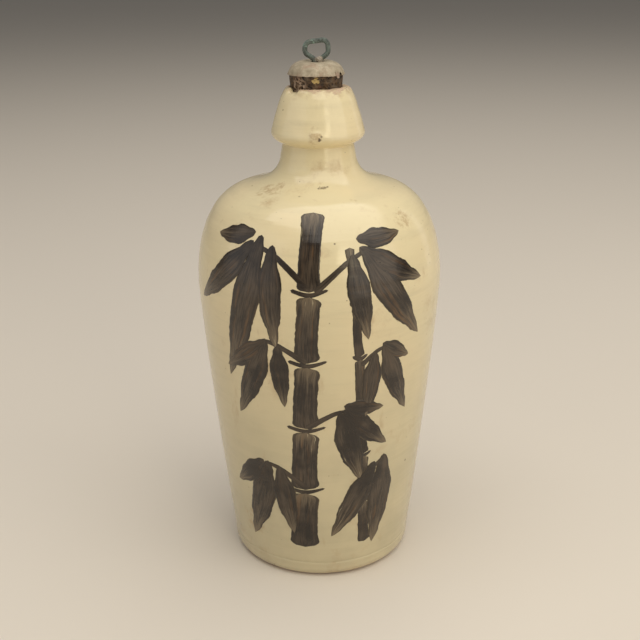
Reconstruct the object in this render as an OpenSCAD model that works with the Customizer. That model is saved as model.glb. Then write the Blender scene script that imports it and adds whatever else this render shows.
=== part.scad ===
// Stoneware sake flask with a cork stopper.
// The flask is one fired piece. The stopper is a tapered cork with a sheet-metal cap on top, held
// together by a wire eye: its two legs run down through cap and cork and are bent out under a washer.
// Origin: centre of the foot, on the table. Z is up, and -Y is the painted front.

/* [Body] */
// Radius of the body at its widest
body_r = 68; // [56:0.5:82]
// Height of the widest point above the table
belly_h = 168; // [135:1:205]
// Radius of the foot, at the top of its trimmed band
foot_r = 52.8; // [43.5:0.1:56]
// Height of the trimmed band around the foot
band_h = 10.5; // [8:0.5:14]
// How far the band draws in towards the table
band_draw = 0.4; // [0:0.1:1]
// Rounding of the foot's lower edge
foot_round = 6.4; // [4:0.1:7]
// Width of the flat ring that the flask stands on
foot_land = 6; // [4:0.5:9]
// Depth of the shallow hollow inside that ring
foot_hollow = 1.5; // [0.5:0.1:3]
// Thickness of the thrown wall
wall = 6; // [4.5:0.1:7.5]
// Thickness of the floor
floor_t = 8; // [6:0.5:10]

/* [Shoulder and neck] */
// Height from the widest point to the top of the shoulder
shoulder_h = 50.4; // [40:0.2:62]
// Radius at the top of the shoulder, where the neck starts to rise
shoulder_r = 42; // [35:0.5:46]
// Height from the top of the shoulder to the underside of the collar
neck_h = 22.8; // [19:0.2:28]
// Thickness of the neck's wall just under the collar
neck_wall = 7.2; // [6:0.1:9]

/* [Collar and mouth] */
// Height of the collar, from its underside to the rim
collar_h = 30; // [26:0.5:36]
// How far the collar stands out beyond the neck
collar_out = 5.9; // [4.8:0.1:7]
// Radius of the mouth at the rim
mouth_r = 13.9; // [11.5:0.1:16.7]
// Width of the rim around the mouth
rim_w = 3.3; // [2.6:0.1:4]
// Rounding of the rim's inner edge
rim_round = 0.7; // [0.3:0.1:1]

/* [Cork] */
// Radial clearance between the cork and the mouth
cork_gap = 0.1; // [0.05:0.01:0.2]
// How much the cork's radius shrinks for each millimetre of depth
cork_taper = 0.09; // [0.07:0.01:0.11]
// Length of cork below the rim
cork_in = 18; // [15:0.5:22]
// Length of bare cork between the rim and the cap
cork_out = 6.4; // [5:0.1:8]

/* [Cap] */
// Height of the domed cap
cap_h = 7.4; // [6:0.1:9]
// Thickness of the cap's sheet metal
sheet_t = 0.5; // [0.4:0.05:0.6]
// Clearance between the cap and the cork inside it
cap_gap = 0.1; // [0.05:0.01:0.2]

/* [Eye] */
// Diameter of the eye's wire
wire_d = 2.6; // [2.1:0.1:3.2]
// Width of the eye, between the middles of its wire
eye_w = 12.4; // [11.2:0.1:15]
// Height of the middle of the eye's top wire above the cap
eye_h = 9.4; // [8.8:0.1:11.5]
// How far the eye leans to one side of the stopper's axis
eye_lean = -0.8; // [-0.9:0.1:0.9]
// How much higher one end of the eye's top wire is than the other
eye_rise = 1.5; // [0:0.1:1.8]
// Height of the eye's lower corners above the cap
eye_corner_h = 3.2; // [2.8:0.1:3.8]
// Radius of the eye's four bends, at the middle of the wire
eye_bend = 3; // [2.2:0.1:3.1]
// Gap between the eye's two legs
leg_gap = 0.3; // [0.1:0.05:0.6]
// Clearance around each leg where it runs through the cork
leg_fit = 0.05; // [0.02:0.01:0.1]
// Length of each bent leg end under the washer, past its bend
clench_l = 3; // [2:0.1:3.5]

/* [Washer] */
// Radius of the washer
washer_r = 7; // [6:0.1:8.5]
// Thickness of the washer
washer_t = 0.8; // [0.6:0.1:1.2]
// Clearance around the two legs in the washer and in the cap
slot_fit = 0.3; // [0.2:0.05:0.4]

/* [Hidden] */
$fn = 64;
// Straight steps along each curve of an outline
steps = 14;
// A little extra length where a cut runs out of a solid
over = 1;

// Heights that the pieces share
shoulder_z = belly_h + shoulder_h;
collar_z = shoulder_z + neck_h;
rim_z = collar_z + collar_h;
cork_low_z = rim_z - cork_in;
skirt_z = rim_z + cork_out;
cap_z = skirt_z + cap_h;
washer_low_z = cork_low_z - washer_t;

// Radii that the pieces share
bore_low_z = cork_low_z - 1;
bore_r = mouth_r - cork_taper * (rim_z - bore_low_z);
neck_r = bore_r + neck_wall;
collar_r = neck_r + collar_out;
rim_r = mouth_r + rim_w;
cork_rim_r = mouth_r - cork_gap;
cork_skirt_r = cork_rim_r + cork_taper * cork_out;
cork_low_r = cork_rim_r - cork_taper * cork_in;
cap_r = cork_skirt_r + cap_gap + sheet_t;

// Point at share t of a Bezier curve with four control points
function bez(p, t) = pow(1 - t, 3) * p[0]
    + 3 * pow(1 - t, 2) * t * p[1]
    + 3 * (1 - t) * t * t * p[2]
    + pow(t, 3) * p[3];
// Unit direction of the curve at share t
function heading(p, t) = let(d = pow(1 - t, 2) * (p[1] - p[0])
    + 2 * (1 - t) * t * (p[2] - p[1])
    + t * t * (p[3] - p[2])) d / norm(d);
// The curve as points, moved in by depth on the left of its direction
function curve(p, depth = 0, first = 0) = [for (i = [first:steps])
    let(h = heading(p, i / steps)) bez(p, i / steps) + depth * [-h[1], h[0]]];

// Handles of the flask's curves: how far each end of a curve pulls it, as [outwards, upwards]
foot_pull = [6.2, 51.5];
belly_pull = 18;
// Share of the shoulder's height through which the body keeps its full width
shoulder_full = 0.44;
shoulder_pull = [18.2, -4.1];
shoulder_lift = [-11.2, 2.9];
neck_pull = [2.8, 5.4];
// Where the neck's curve ends and the smaller curve under the collar starts, from the neck's middle
neck_top = [1.2, -7.2];
collar_lift = 1.8;
// Height above the collar's underside at which it is widest
collar_widest = 6.5;
collar_low_pull = [0.4, -3.4];
collar_top_pull = [-0.4, 2.6];
// Where the collar's curve ends and the rim's starts, from the rim's outer edge
rim_start = [2.6, -5.4];
rim_start_pull = [3.7, -8.2];
rim_pull = [1.4, -2.6];
rim_crest = 0.4;
rim_flat = -1.9;

// Outer curves of the flask, from the foot up, as [radius, height]
side = [[foot_r, band_h],
    [foot_r, band_h] + foot_pull,
    [body_r, belly_h - belly_pull],
    [body_r, belly_h]];
shoulder = [[body_r, belly_h],
    [body_r, belly_h + shoulder_h * shoulder_full],
    [shoulder_r, shoulder_z] + shoulder_pull,
    [shoulder_r, shoulder_z]];
neck = [[shoulder_r, shoulder_z],
    [shoulder_r, shoulder_z] + shoulder_lift,
    [neck_r, shoulder_z] + neck_pull,
    [neck_r, collar_z] + neck_top];
under_collar = [[neck_r, collar_z],
    [neck_r + collar_out / 2, collar_z + collar_lift],
    [collar_r, collar_z + collar_widest] + collar_low_pull,
    [collar_r, collar_z + collar_widest]];
collar = [[collar_r, collar_z + collar_widest],
    [collar_r, collar_z + collar_widest] + collar_top_pull,
    [rim_r, rim_z] + rim_start_pull,
    [rim_r, rim_z] + rim_start];
rim = [[rim_r, rim_z] + rim_start,
    [rim_r, rim_z] + rim_pull,
    [rim_r + rim_crest, rim_z],
    [rim_r + rim_flat, rim_z]];

// Width of the rounded corner between floor and wall
floor_corner = 10;
// How many times wider than deep the hollow's sloping edge is
hollow_slope = 2;
// Most degrees that one step of a rounded edge turns through
edge_step = 9;

// Outside of the flask, down to the edge of its foot
function outside() = let(
    round_r = foot_r - band_draw - foot_round,
    land_in_r = round_r - foot_land)
    concat(
    [[0, foot_hollow], [land_in_r - foot_hollow * hollow_slope, foot_hollow], [land_in_r, 0]],
    [for (a = [-90:edge_step:0]) [round_r, foot_round] + foot_round * [cos(a), sin(a)]],
    curve(side), curve(shoulder, 0, 1), curve(neck, 0, 1),
    curve(under_collar), curve(collar, 0, 1), curve(rim, 0, 1));
// Inside of the flask, from the rim's inner edge down to the floor
function inside() = let(
    wall_in = curve(side, wall),
    corner = wall_in[0],
    floor_curve = [[corner[0] - floor_corner, floor_t],
        [corner[0] - floor_corner / 2, floor_t],
        [corner[0] - floor_corner / 10, floor_t + floor_corner / 10],
        wall_in[1]])
    concat(
    [for (a = [90:edge_step:180]) [mouth_r + rim_round, rim_z - rim_round] + rim_round * [cos(a), sin(a)]],
    [[bore_r, bore_low_z], [bore_r, collar_z]],
    reversed(concat(curve(floor_curve),
        [for (i = [2:steps]) wall_in[i]],
        curve(shoulder, wall, 1),
        curve(neck, wall, 1))),
    [[0, floor_t]]);
function reversed(list) = [for (i = [len(list) - 1:-1:0]) list[i]];

// A slot's outline with round ends, d wide, for two legs whose outer sides are l apart
module slot(d, l) {
    translate([-(l - d) / 2, 0]) circle(d = d);
    translate([(l - d) / 2, 0]) circle(d = d);
    square([l - d, d], center = true);
}

module bottle() color("wheat") rotate_extrude() polygon(concat(outside(), inside()));

// Handles of the dome's curve: how far it draws in up its side, and over its crown
dome_side_in = 1;
dome_crown_in = 3.5;
// Share of the cap's height up to which its side stays steep
dome_steep = 0.62;
// Outside of the domed cap, from its skirt to its crown
dome = [[cap_r, skirt_z],
    [cap_r - dome_side_in, skirt_z + cap_h * dome_steep],
    [cap_r - dome_crown_in, cap_z],
    [0, cap_z]];
// The eye's legs
leg_x = (wire_d + leg_gap) / 2;
leg_pair_w = 2 * leg_x + wire_d;
// Bevel round the cork's lower end
cork_bevel = 0.6;
// Room between the cork's flat top and the cap, where the eye's legs start to bend apart
cork_top_gap = 0.5;
cork_top_z = cap_z - sheet_t - cork_top_gap;
// The cork's shoulder follows the inside of the dome up to the cork's flat top
dome_inside = curve(dome, sheet_t + cap_gap);
cork_shoulder = [for (p = dome_inside) if (p[1] < cork_top_z) p];
// Point of an outline where it first rises through a height
function crossing(points, z) = [for (i = [1:len(points) - 1])
    let(a = points[i - 1], b = points[i], share = (z - a[1]) / (b[1] - a[1]))
    if (a[1] < z && b[1] >= z) a + share * (b - a)][0];

module cork() color("saddlebrown") difference() {
    rotate_extrude() polygon(concat(
        [[0, cork_low_z], [cork_low_r - cork_bevel, cork_low_z], [cork_low_r, cork_low_z + cork_bevel]],
        cork_shoulder,
        [crossing(dome_inside, cork_top_z), [0, cork_top_z]]));
    translate([0, 0, cork_low_z - over]) linear_extrude(cork_top_z - cork_low_z + 2 * over)
        slot(wire_d + 2 * leg_fit, leg_pair_w + 2 * leg_fit);
}

// Height above the cap at which the eye's wire bends outwards, before its two sides rise
fork_rise = 0.2;
fork_z = cap_z + fork_rise;
// Bend radii at the middle of the wire, as shares of the wire: at the fork, and under the washer
fork_bend = 0.7 * wire_d;
clench_bend = 0.8 * wire_d;
// How far the eye's two sides lean in towards the top
side_lean_in = 0.4;
eye_left = eye_lean - eye_w / 2;
eye_right = eye_lean + eye_w / 2;
eye_corner_z = cap_z + eye_corner_h;
eye_top_z = cap_z + eye_h;
// The flatter of the eye's two sides decides how long the slot in the cap is
side_run = max(-eye_left, eye_right) - leg_x;
side_slope = (eye_corner_z - fork_z) / side_run;
side_half = wire_d / 2 * sqrt(1 + side_slope * side_slope);
cap_slot_l = 2 * (leg_x + (cap_z + side_half - fork_z) / side_slope + slot_fit);

module cap() color("tan") difference() {
    rotate_extrude() polygon(concat(curve(dome), reversed(curve(dome, sheet_t))));
    translate([0, 0, skirt_z]) linear_extrude(cap_h + over)
        slot(wire_d + 2 * slot_fit, cap_slot_l);
}

// Sides of the wire's cross-section, and the most that one step of a bend turns through
wire_sides = 16;
bend_step = 16;

// Signed angle that a path turns through at b, coming from a and going on to c
function turn(a, b, c) = let(u = b - a, v = c - b)
    atan2(u[0] * v[1] - u[1] * v[0], u[0] * v[0] + u[1] * v[1]);
// Bend of radius r at b, as stations: each is [x, z, heading]
function bend(a, b, c, r) = let(
    angle = turn(a, b, c),
    u = (b - a) / norm(b - a),
    left = sign(angle) * [-u[1], u[0]],
    start = b - r * tan(abs(angle) / 2) * u,
    middle = start + r * left,
    heading = atan2(u[1], u[0]),
    count = ceil(abs(angle) / bend_step))
    [for (i = [0:count]) let(h = heading + angle * i / count)
        [middle[0] + sign(angle) * r * sin(h), middle[1] - sign(angle) * r * cos(h), h]];
// Stations along a path of points, with a bend radius for each point between its ends
function stations(path, radii) = let(
    last = len(path) - 1,
    first_run = path[1] - path[0],
    last_run = path[last] - path[last - 1])
    concat(
    [[path[0][0], path[0][1], atan2(first_run[1], first_run[0])]],
    [for (i = [1:last - 1]) each bend(path[i - 1], path[i], path[i + 1], radii[i - 1])],
    [[path[last][0], path[last][1], atan2(last_run[1], last_run[0])]]);
// Round wire swept through the stations, in the XZ plane
module bent_wire(path, radii) {
    at = stations(path, radii);
    rings = len(at);
    points = [for (s = at) for (k = [0:wire_sides - 1])
        let(a = 360 * k / wire_sides, side = wire_d / 2 * cos(a))
        [s[0] - side * sin(s[2]), wire_d / 2 * sin(a), s[1] + side * cos(s[2])]];
    skin = [for (i = [0:rings - 2]) for (k = [0:wire_sides - 1])
        let(p = i * wire_sides + k, q = i * wire_sides + (k + 1) % wire_sides)
        each [[p, p + wire_sides, q], [q, p + wire_sides, q + wire_sides]]];
    near_end = [for (k = [0:wire_sides - 1]) k];
    far_end = [for (k = [wire_sides - 1:-1:0]) (rings - 1) * wire_sides + k];
    polyhedron(points, concat(skin, [near_end], [far_end]));
}
clench_z = washer_low_z - wire_d / 2 - leg_fit;
clench_x = leg_x + clench_bend + clench_l;
module eye() color("cadetblue") bent_wire([
    [-clench_x, clench_z],
    [-leg_x, clench_z],
    [-leg_x, fork_z],
    [eye_left, eye_corner_z],
    [eye_left + side_lean_in, eye_top_z - eye_rise / 2],
    [eye_right - side_lean_in, eye_top_z + eye_rise / 2],
    [eye_right, eye_corner_z],
    [leg_x, fork_z],
    [leg_x, clench_z],
    [clench_x, clench_z]],
    [clench_bend, fork_bend, eye_bend, eye_bend, eye_bend, eye_bend, fork_bend, clench_bend]);

// The washer's slot is long enough for the inside of the legs' bends, which start within it
clench_in_r = clench_bend - wire_d / 2;
clench_reach = sqrt(pow(clench_in_r, 2) - pow(clench_in_r - leg_fit, 2));
washer_slot_l = 2 * (leg_x + clench_bend - clench_reach + slot_fit);
module washer() color("gray") translate([0, 0, washer_low_z]) linear_extrude(washer_t) difference() {
    circle(r = washer_r);
    slot(wire_d + 2 * slot_fit, washer_slot_l);
}

bottle();
cork();
cap();
eye();
washer();
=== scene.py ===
# %% [markdown]
# # A stoneware sake flask, piece by piece
# The flask is one thrown pot under a cream glaze, painted with an iron brush, and closed with a cork
# that wears a thin metal cap and a wire eye. Each cell below makes one piece or one finish. The CAD
# model is loaded first: it fixes every place and size, and the pieces are made around it, in metres.

# %% Load the frame
import math

import bmesh
import bpy
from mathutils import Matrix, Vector, noise


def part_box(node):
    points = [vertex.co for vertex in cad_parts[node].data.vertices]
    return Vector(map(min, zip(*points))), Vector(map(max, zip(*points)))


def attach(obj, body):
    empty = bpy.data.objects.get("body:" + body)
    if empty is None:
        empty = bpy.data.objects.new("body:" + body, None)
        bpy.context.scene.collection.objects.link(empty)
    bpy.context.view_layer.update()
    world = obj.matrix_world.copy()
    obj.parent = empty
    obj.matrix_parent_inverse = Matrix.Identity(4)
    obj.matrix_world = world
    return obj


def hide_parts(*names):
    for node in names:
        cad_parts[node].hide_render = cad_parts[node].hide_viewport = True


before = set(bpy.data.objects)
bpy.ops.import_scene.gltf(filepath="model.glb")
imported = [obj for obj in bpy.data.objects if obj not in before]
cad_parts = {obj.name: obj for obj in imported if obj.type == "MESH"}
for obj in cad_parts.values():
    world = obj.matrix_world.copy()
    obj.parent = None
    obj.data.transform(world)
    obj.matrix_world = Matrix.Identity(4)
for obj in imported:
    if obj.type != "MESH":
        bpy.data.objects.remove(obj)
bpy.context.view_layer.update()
mm = 0.001

# %% [markdown]
# ## Sizes
# The overall sizes are read from the CAD boxes, so that the looks follow the design. The few that a
# box can't tell, such as where the foot's band ends, are written down here by name.

# %% Sizes from the frame
bottle_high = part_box("bottle")[1]
cork_low, cork_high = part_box("cork")
cap_low, cap_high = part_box("cap")
eye_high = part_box("eye")[1]
washer_low, washer_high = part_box("washer")
body_r = bottle_high.x
rim_z = bottle_high.z
skirt_z = cap_low.z
cap_z = cap_high.z
cap_r = cap_high.x
cork_low_z = cork_low.z

foot_r = 52.8 * mm
band_h = 10.5 * mm
band_draw = 0.4 * mm
foot_round = 6.4 * mm
foot_land = 6 * mm
foot_hollow = 1.5 * mm
wall = 6 * mm
floor_t = 8 * mm
belly_z = 168 * mm
shoulder_z = 218.4 * mm
shoulder_r = 42 * mm
collar_z = 241.2 * mm
neck_r = 19.39 * mm
collar_r = 25.29 * mm
mouth_r = 13.9 * mm
rim_r = 17.2 * mm
rim_round = 0.7 * mm
bore_r = 12.19 * mm
bore_low_z = cork_low_z - 1 * mm
cork_taper = 0.09
cork_rim_r = 13.8 * mm
sheet_t = 0.5 * mm
print(f"flask {body_r * 2000:.0f} mm across, rim at {rim_z * 1000:.0f} mm, cap top at {cap_z * 1000:.0f} mm")

# %% [markdown]
# ## Camera
# The flask is seen from a little above its own height, tilted down, from just over half a metre. A
# short lens that near makes the foot look smaller than the shoulder, so distance and lens both matter.

# %% Camera
CAMERA_DISTANCE = 0.5529
CAMERA_HEIGHT = 0.3428
CAMERA_SIDE = 0.0018
TILT_DOWN = math.radians(20.28)
FIELD_OF_VIEW = math.radians(34.74)
ROLL = math.radians(0.45)
SENSOR_WIDTH = 36

camera_data = bpy.data.cameras.new("camera")
camera_data.sensor_width = SENSOR_WIDTH
camera_data.lens = SENSOR_WIDTH / 2 / math.tan(FIELD_OF_VIEW / 2)
camera = bpy.data.objects.new("camera", camera_data)
camera.location = (CAMERA_SIDE, -CAMERA_DISTANCE, CAMERA_HEIGHT)
camera.rotation_euler = (math.pi / 2 - TILT_DOWN, ROLL, 0)
bpy.context.collection.objects.link(camera)
bpy.context.scene.camera = camera
print(f"lens {camera_data.lens:.1f} mm, {CAMERA_DISTANCE * 1000:.0f} mm from the axis")

# %% [markdown]
# ## Small helpers
# Node trees are easier to read when each node is one line. `add` makes a node, sets its options and
# fills its inputs with numbers or with another node's output; `calc` does one step of arithmetic. Every
# finish ends the same way, in a colour, a roughness and a relief, so `dress` links those three.


# %% Node helpers
def add(tree, kind, inputs=None, **options):
    """A new node, with its options and inputs set."""
    made = tree.nodes.new(kind)
    for name, value in options.items():
        setattr(made, name, value)
    for name, value in (inputs or {}).items():
        feed(tree, made.inputs[name], value)
    return made


def feed(tree, socket, value):
    """Links an output into a socket, or sets the socket to a plain value."""
    if isinstance(value, bpy.types.NodeSocket):
        tree.links.new(value, socket)
    else:
        socket.default_value = value


def calc(tree, operation, *values, clamp=False):
    """One step of arithmetic; returns its result."""
    step = tree.nodes.new("ShaderNodeMath")
    step.operation = operation
    step.use_clamp = clamp
    for socket, value in zip(step.inputs, values):
        feed(tree, socket, value)
    return step.outputs[0]


def vector_calc(tree, operation, *values):
    """One step of vector arithmetic; returns the vector result."""
    step = tree.nodes.new("ShaderNodeVectorMath")
    step.operation = operation
    for socket, value in zip(step.inputs, values):
        feed(tree, socket, value)
    return step.outputs[0]


def ramp(tree, value, low, high, to_low=0.0, to_high=1.0):
    """value from low to high, eased into to_low to to_high and held beyond them."""
    scaled = add(tree, "ShaderNodeMapRange", {"Value": value}, interpolation_type="SMOOTHSTEP")
    for name, number in (("From Min", low), ("From Max", high), ("To Min", to_low), ("To Max", to_high)):
        feed(tree, scaled.inputs[name], number)
    return scaled.outputs["Result"]


def blend_colour(tree, share, under, over):
    """under where share is 0 and over where it is 1."""
    mixed = tree.nodes.new("ShaderNodeMix")
    mixed.data_type = "RGBA"
    feed(tree, mixed.inputs[0], share)
    feed(tree, mixed.inputs[6], under)
    feed(tree, mixed.inputs[7], over)
    return mixed.outputs[2]


def scaled(tree, vector, amount):
    """vector times amount."""
    made = vector_calc(tree, "SCALE", vector)
    feed(tree, made.node.inputs["Scale"], amount)
    return made


def distance(tree, place, where):
    """How far a place is from a fixed point, in metres."""
    return add(tree, "ShaderNodeVectorMath", {0: place, 1: where}, operation="DISTANCE").outputs["Value"]


def lay_over(tree, tint, *coats):
    """Lays coats over a colour in turn, each given as its share and its colour."""
    for share, colour in coats:
        tint = blend_colour(tree, share, tint, colour)
    return tint


def new_material(name, view_colour):
    """An empty node material with its Principled shader; returns material, tree and shader."""
    material = bpy.data.materials.new(name)
    material.use_nodes = True
    material.diffuse_color = (*view_colour, 1)
    tree = material.node_tree
    return material, tree, tree.nodes["Principled BSDF"]


def dress(tree, shader, colour, rough, relief, metallic=None, strength=1.0):
    """Links a finish's colour, roughness, relief in metres and, on metal, its metallic share."""
    feed(tree, shader.inputs["Base Color"], colour)
    feed(tree, shader.inputs["Roughness"], rough)
    if metallic is not None:
        feed(tree, shader.inputs["Metallic"], metallic)
    bump = add(tree, "ShaderNodeBump", {"Height": relief, "Distance": 1.0, "Strength": strength})
    feed(tree, shader.inputs["Normal"], bump.outputs["Normal"])


# %% Mesh helpers
def place_object(name, mesh):
    """Puts a mesh or a lamp in the scene, at the origin."""
    made = bpy.data.objects.new(name, mesh)
    bpy.context.collection.objects.link(made)
    return made


def keep_shape(name, shape, finish=None):
    """Makes an edited shape a mesh object in the scene, with its finish."""
    mesh = bpy.data.meshes.new(name)
    shape.to_mesh(mesh)
    shape.free()
    if finish:
        mesh.materials.append(finish)
    return place_object(name, mesh)


# %% [markdown]
# ## Floor and light
# Glossy glaze shows its lights as shapes, so the lights are chosen for their reflections as much as for
# their shadows: a very wide dim one overhead, two wide pale walls at the sides, the right one brighter,
# a small warm lamp whose yellow patch lies on the collar, and a thin strip for the far right edge. The
# lamps themselves stay unseen.

# %% Floor and lights
FLOOR_SIZE = 40
FLOOR_PALE = (0.74, 0.68, 0.60, 1)
FLOOR_ROUGHNESS = 0.6
floor_mesh = bpy.data.meshes.new("floor")
half = FLOOR_SIZE / 2
floor_corners = [(-half, -half, 0), (half, -half, 0), (half, half, 0), (-half, half, 0)]
floor_mesh.from_pydata(floor_corners, [], [(0, 1, 2, 3)])
floor = place_object("floor", floor_mesh)
floor_paint, _, floor_shader = new_material("pale_floor", (0.8, 0.76, 0.7))
floor_shader.inputs["Base Color"].default_value = FLOOR_PALE
floor_shader.inputs["Roughness"].default_value = FLOOR_ROUGHNESS
floor_mesh.materials.append(floor_paint)

# each light: name, place, width, height, watts, colour, and the point it faces
LIGHTS = (
    ("overhead", (0.3, -0.3, 2.2), 3.0, 3.0, 52, (1.0, 0.95, 0.87), (0.05, 0, 0)),
    ("right_wall", (1.0, -0.85, 0.6), 1.4, 1.3, 6.2, (1.0, 0.96, 0.88), (0, 0, 0.2)),
    ("left_wall", (-1.1, -0.5, 0.5), 1.4, 1.2, 3.1, (0.97, 0.96, 0.95), (0, 0, 0.2)),
    ("warm_lamp", (0.60, -1.29, 0.66), 0.34, 0.5, 1.6, (1.0, 0.86, 0.52), (0, 0, 0.25)),
    ("right_strip", (0.72, 0.42, 0.36), 0.12, 0.72, 0.15, (1.0, 0.96, 0.9), (0, 0, 0.2)),
)
SKY_COLOUR = (0.95, 0.93, 0.9, 1)
SKY_STRENGTH = 0.16


def soft_light(name, place, width, height, power, colour, aim):
    """A rectangular soft light at place, facing aim, that doesn't show itself."""
    lamp = bpy.data.lights.new(name, "AREA")
    lamp.shape = "RECTANGLE"
    lamp.size, lamp.size_y = width, height
    lamp.energy = power
    lamp.color = colour
    made = place_object(name, lamp)
    made.location = place
    made.rotation_euler = (Vector(aim) - Vector(place)).to_track_quat("-Z", "Y").to_euler()
    made.visible_camera = False


for values in LIGHTS:
    soft_light(*values)

sky = bpy.data.worlds.new("studio")
sky.use_nodes = True
sky.node_tree.nodes["Background"].inputs["Color"].default_value = SKY_COLOUR
sky.node_tree.nodes["Background"].inputs["Strength"].default_value = SKY_STRENGTH
bpy.context.scene.world = sky
bpy.context.scene.view_settings.view_transform = "Standard"

# %% [markdown]
# ## Cream glaze
# The glaze is a thick, glossy, slightly uneven coat over stoneware. Five things make it look fired and
# used rather than painted: slow changes of tint, faint bands from the potter's fingers, dark iron
# specks that burnt through, pinholes, and brown stain in the wear. The lower body is also painted
# darker and more olive, as painted shade. All of them read the object's own coordinates in metres, so
# a speck of half a millimetre stays half a millimetre.

# %% Glaze colours and where they lie
CREAM = (0.76, 0.66, 0.42, 1)
WARM_CREAM = (0.79, 0.665, 0.42, 1)
# olive of the finger bands, also used as the painted shade over the lower body
OLIVE_CREAM_AND_SHADE = (0.48, 0.42, 0.275, 1)
IRON = (0.075, 0.042, 0.022, 1)
STAIN = (0.40, 0.25, 0.125, 1)
CLAY = (0.55, 0.38, 0.27, 1)
# dark burnt marks: where each is, and its radius
MARKS = (
    ((1.0 * mm, -29.4 * mm, 222.4 * mm), 1.6 * mm),
    ((3.0 * mm, -29.2 * mm, 222.6 * mm), 1.4 * mm),
    ((4.8 * mm, -28.4 * mm, 223.0 * mm), 0.9 * mm),
    ((0.9 * mm, -25.1 * mm, 246.8 * mm), 1.1 * mm),
    ((1.7 * mm, -25.2 * mm, 248.4 * mm), 0.7 * mm),
    ((-46 * mm, -38 * mm, 204 * mm), 0.8 * mm),
    ((21 * mm, -51 * mm, 56 * mm), 0.9 * mm),
    ((-33 * mm, -44 * mm, 40 * mm), 1.0 * mm),
)
# broad brown smears: where each is, and its radius
SMEARS = (
    ((-24 * mm, -24 * mm, 219.5 * mm), 8 * mm),
    ((-1 * mm, -25 * mm, 249 * mm), 5 * mm),
    ((44 * mm, -36 * mm, 207 * mm), 7 * mm),
    ((-38 * mm, -38 * mm, 30 * mm), 9 * mm),
)


def spots(tree, place, spacing, radius, share, seed):
    """Round spots of up to about `radius`, `spacing` apart, in `share` of the places."""
    shifted = vector_calc(tree, "ADD", place, (seed, seed * 1.7, seed * 0.6))
    cells = add(tree, "ShaderNodeTexVoronoi", {"Vector": shifted, "Scale": 1 / spacing})
    draw = add(tree, "ShaderNodeSeparateColor", {"Color": cells.outputs["Color"]})
    largest = radius / spacing
    size = calc(tree, "MULTIPLY_ADD", draw.outputs["Green"], 0.7 * largest, 0.3 * largest)
    chosen = calc(tree, "LESS_THAN", draw.outputs["Red"], share)
    outer_edge = calc(tree, "MULTIPLY", size, 1.25)
    inner_edge = calc(tree, "MULTIPLY", size, 0.6)
    inside = ramp(tree, cells.outputs["Distance"], outer_edge, inner_edge)
    return calc(tree, "MULTIPLY", inside, chosen)


def cloud(tree, place, size, detail=3.0, roughness=0.5, seed=0.0):
    """Soft noise whose features are about `size` metres across, from 0 to 1."""
    shifted = vector_calc(tree, "ADD", place, (seed, seed * 0.7, seed * 1.3))
    made = add(tree, "ShaderNodeTexNoise", {"Vector": shifted, "Scale": 1 / size, "Detail": detail})
    made.inputs["Roughness"].default_value = roughness
    return made.outputs["Fac"]


def near_any(tree, place, marks, ragged):
    """1 inside any of the marks, whose edges wander with the noise `ragged`."""
    found = 0.0
    for where, radius in marks:
        reach = calc(tree, "ADD", distance(tree, place, where), 1.1 * radius)
        wander = calc(tree, "MULTIPLY_ADD", ragged, -2.2 * radius, reach)
        found = calc(tree, "MAXIMUM", found, ramp(tree, wander, 1.1 * radius, 0.5 * radius))
    return found


def glaze_colour(tree, place, axes, mottled, dark):
    """The glaze's colour with its stains, dark marks and painted shade low down, before any wear."""
    slow = ramp(tree, cloud(tree, place, 70 * mm, 4, 0.55, 3.1), 0.36, 0.66)
    tint = blend_colour(tree, slow, CREAM, WARM_CREAM)
    # painted shade: the body is painted darker and more olive from 225 mm down to 20 mm, in uneven patches
    painted_shade_low_down = ramp(tree, axes["Z"], 225 * mm, 20 * mm, 0.0, 0.9)
    patchy = ramp(tree, cloud(tree, place, 35 * mm, 3, 0.6, 8.2), 0.25, 0.7, 0.65, 1.0)
    tint = blend_colour(tree, calc(tree, "MULTIPLY", painted_shade_low_down, patchy), tint, OLIVE_CREAM_AND_SHADE)

    stretched = vector_calc(tree, "MULTIPLY", place, (1.0, 1.0, 9.0))
    bands = cloud(tree, stretched, 45 * mm, 5, 0.62, 1.4)
    tint = blend_colour(tree, ramp(tree, bands, 0.45, 0.8, 0.0, 0.28), tint, OLIVE_CREAM_AND_SHADE)

    stains = ramp(tree, cloud(tree, place, 28 * mm, 6, 0.68, 5.5), 0.55, 0.78, 0.0, 0.6)
    tint = blend_colour(tree, stains, tint, STAIN)
    running = vector_calc(tree, "MULTIPLY", place, (1, 1, 0.35))
    drips = ramp(tree, cloud(tree, running, 9 * mm, 4, 0.6, 2.2), 0.62, 0.8, 0.0, 0.35)
    tint = blend_colour(tree, drips, tint, STAIN)
    smears = near_any(tree, place, SMEARS, cloud(tree, place, 6 * mm, 5, 0.7, 1.9))
    smears = calc(tree, "MULTIPLY", smears, ramp(tree, mottled, 0.40, 0.62))
    tint = blend_colour(tree, calc(tree, "MULTIPLY", smears, 0.55), tint, STAIN)

    burnt = calc(tree, "MULTIPLY", dark, ramp(tree, mottled, 0.38, 0.58, 0.35, 0.9))
    return blend_colour(tree, burnt, tint, IRON)


def dark_marks(tree, place):
    """1 on the iron specks, the dust, the blots and the single burnt marks."""
    specks = spots(tree, place, 8.5 * mm, 0.7 * mm, 0.45, 0.31)
    dust = spots(tree, place, 4.5 * mm, 0.4 * mm, 0.42, 0.77)
    blots = spots(tree, place, 34 * mm, 1.3 * mm, 0.34, 0.53)
    marks = near_any(tree, place, MARKS, cloud(tree, place, 1.6 * mm, 4, 0.65, 3.7))
    dark = calc(tree, "MAXIMUM", specks, calc(tree, "MULTIPLY", dust, 0.6))
    return calc(tree, "MAXIMUM", calc(tree, "MAXIMUM", dark, blots), marks)


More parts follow.
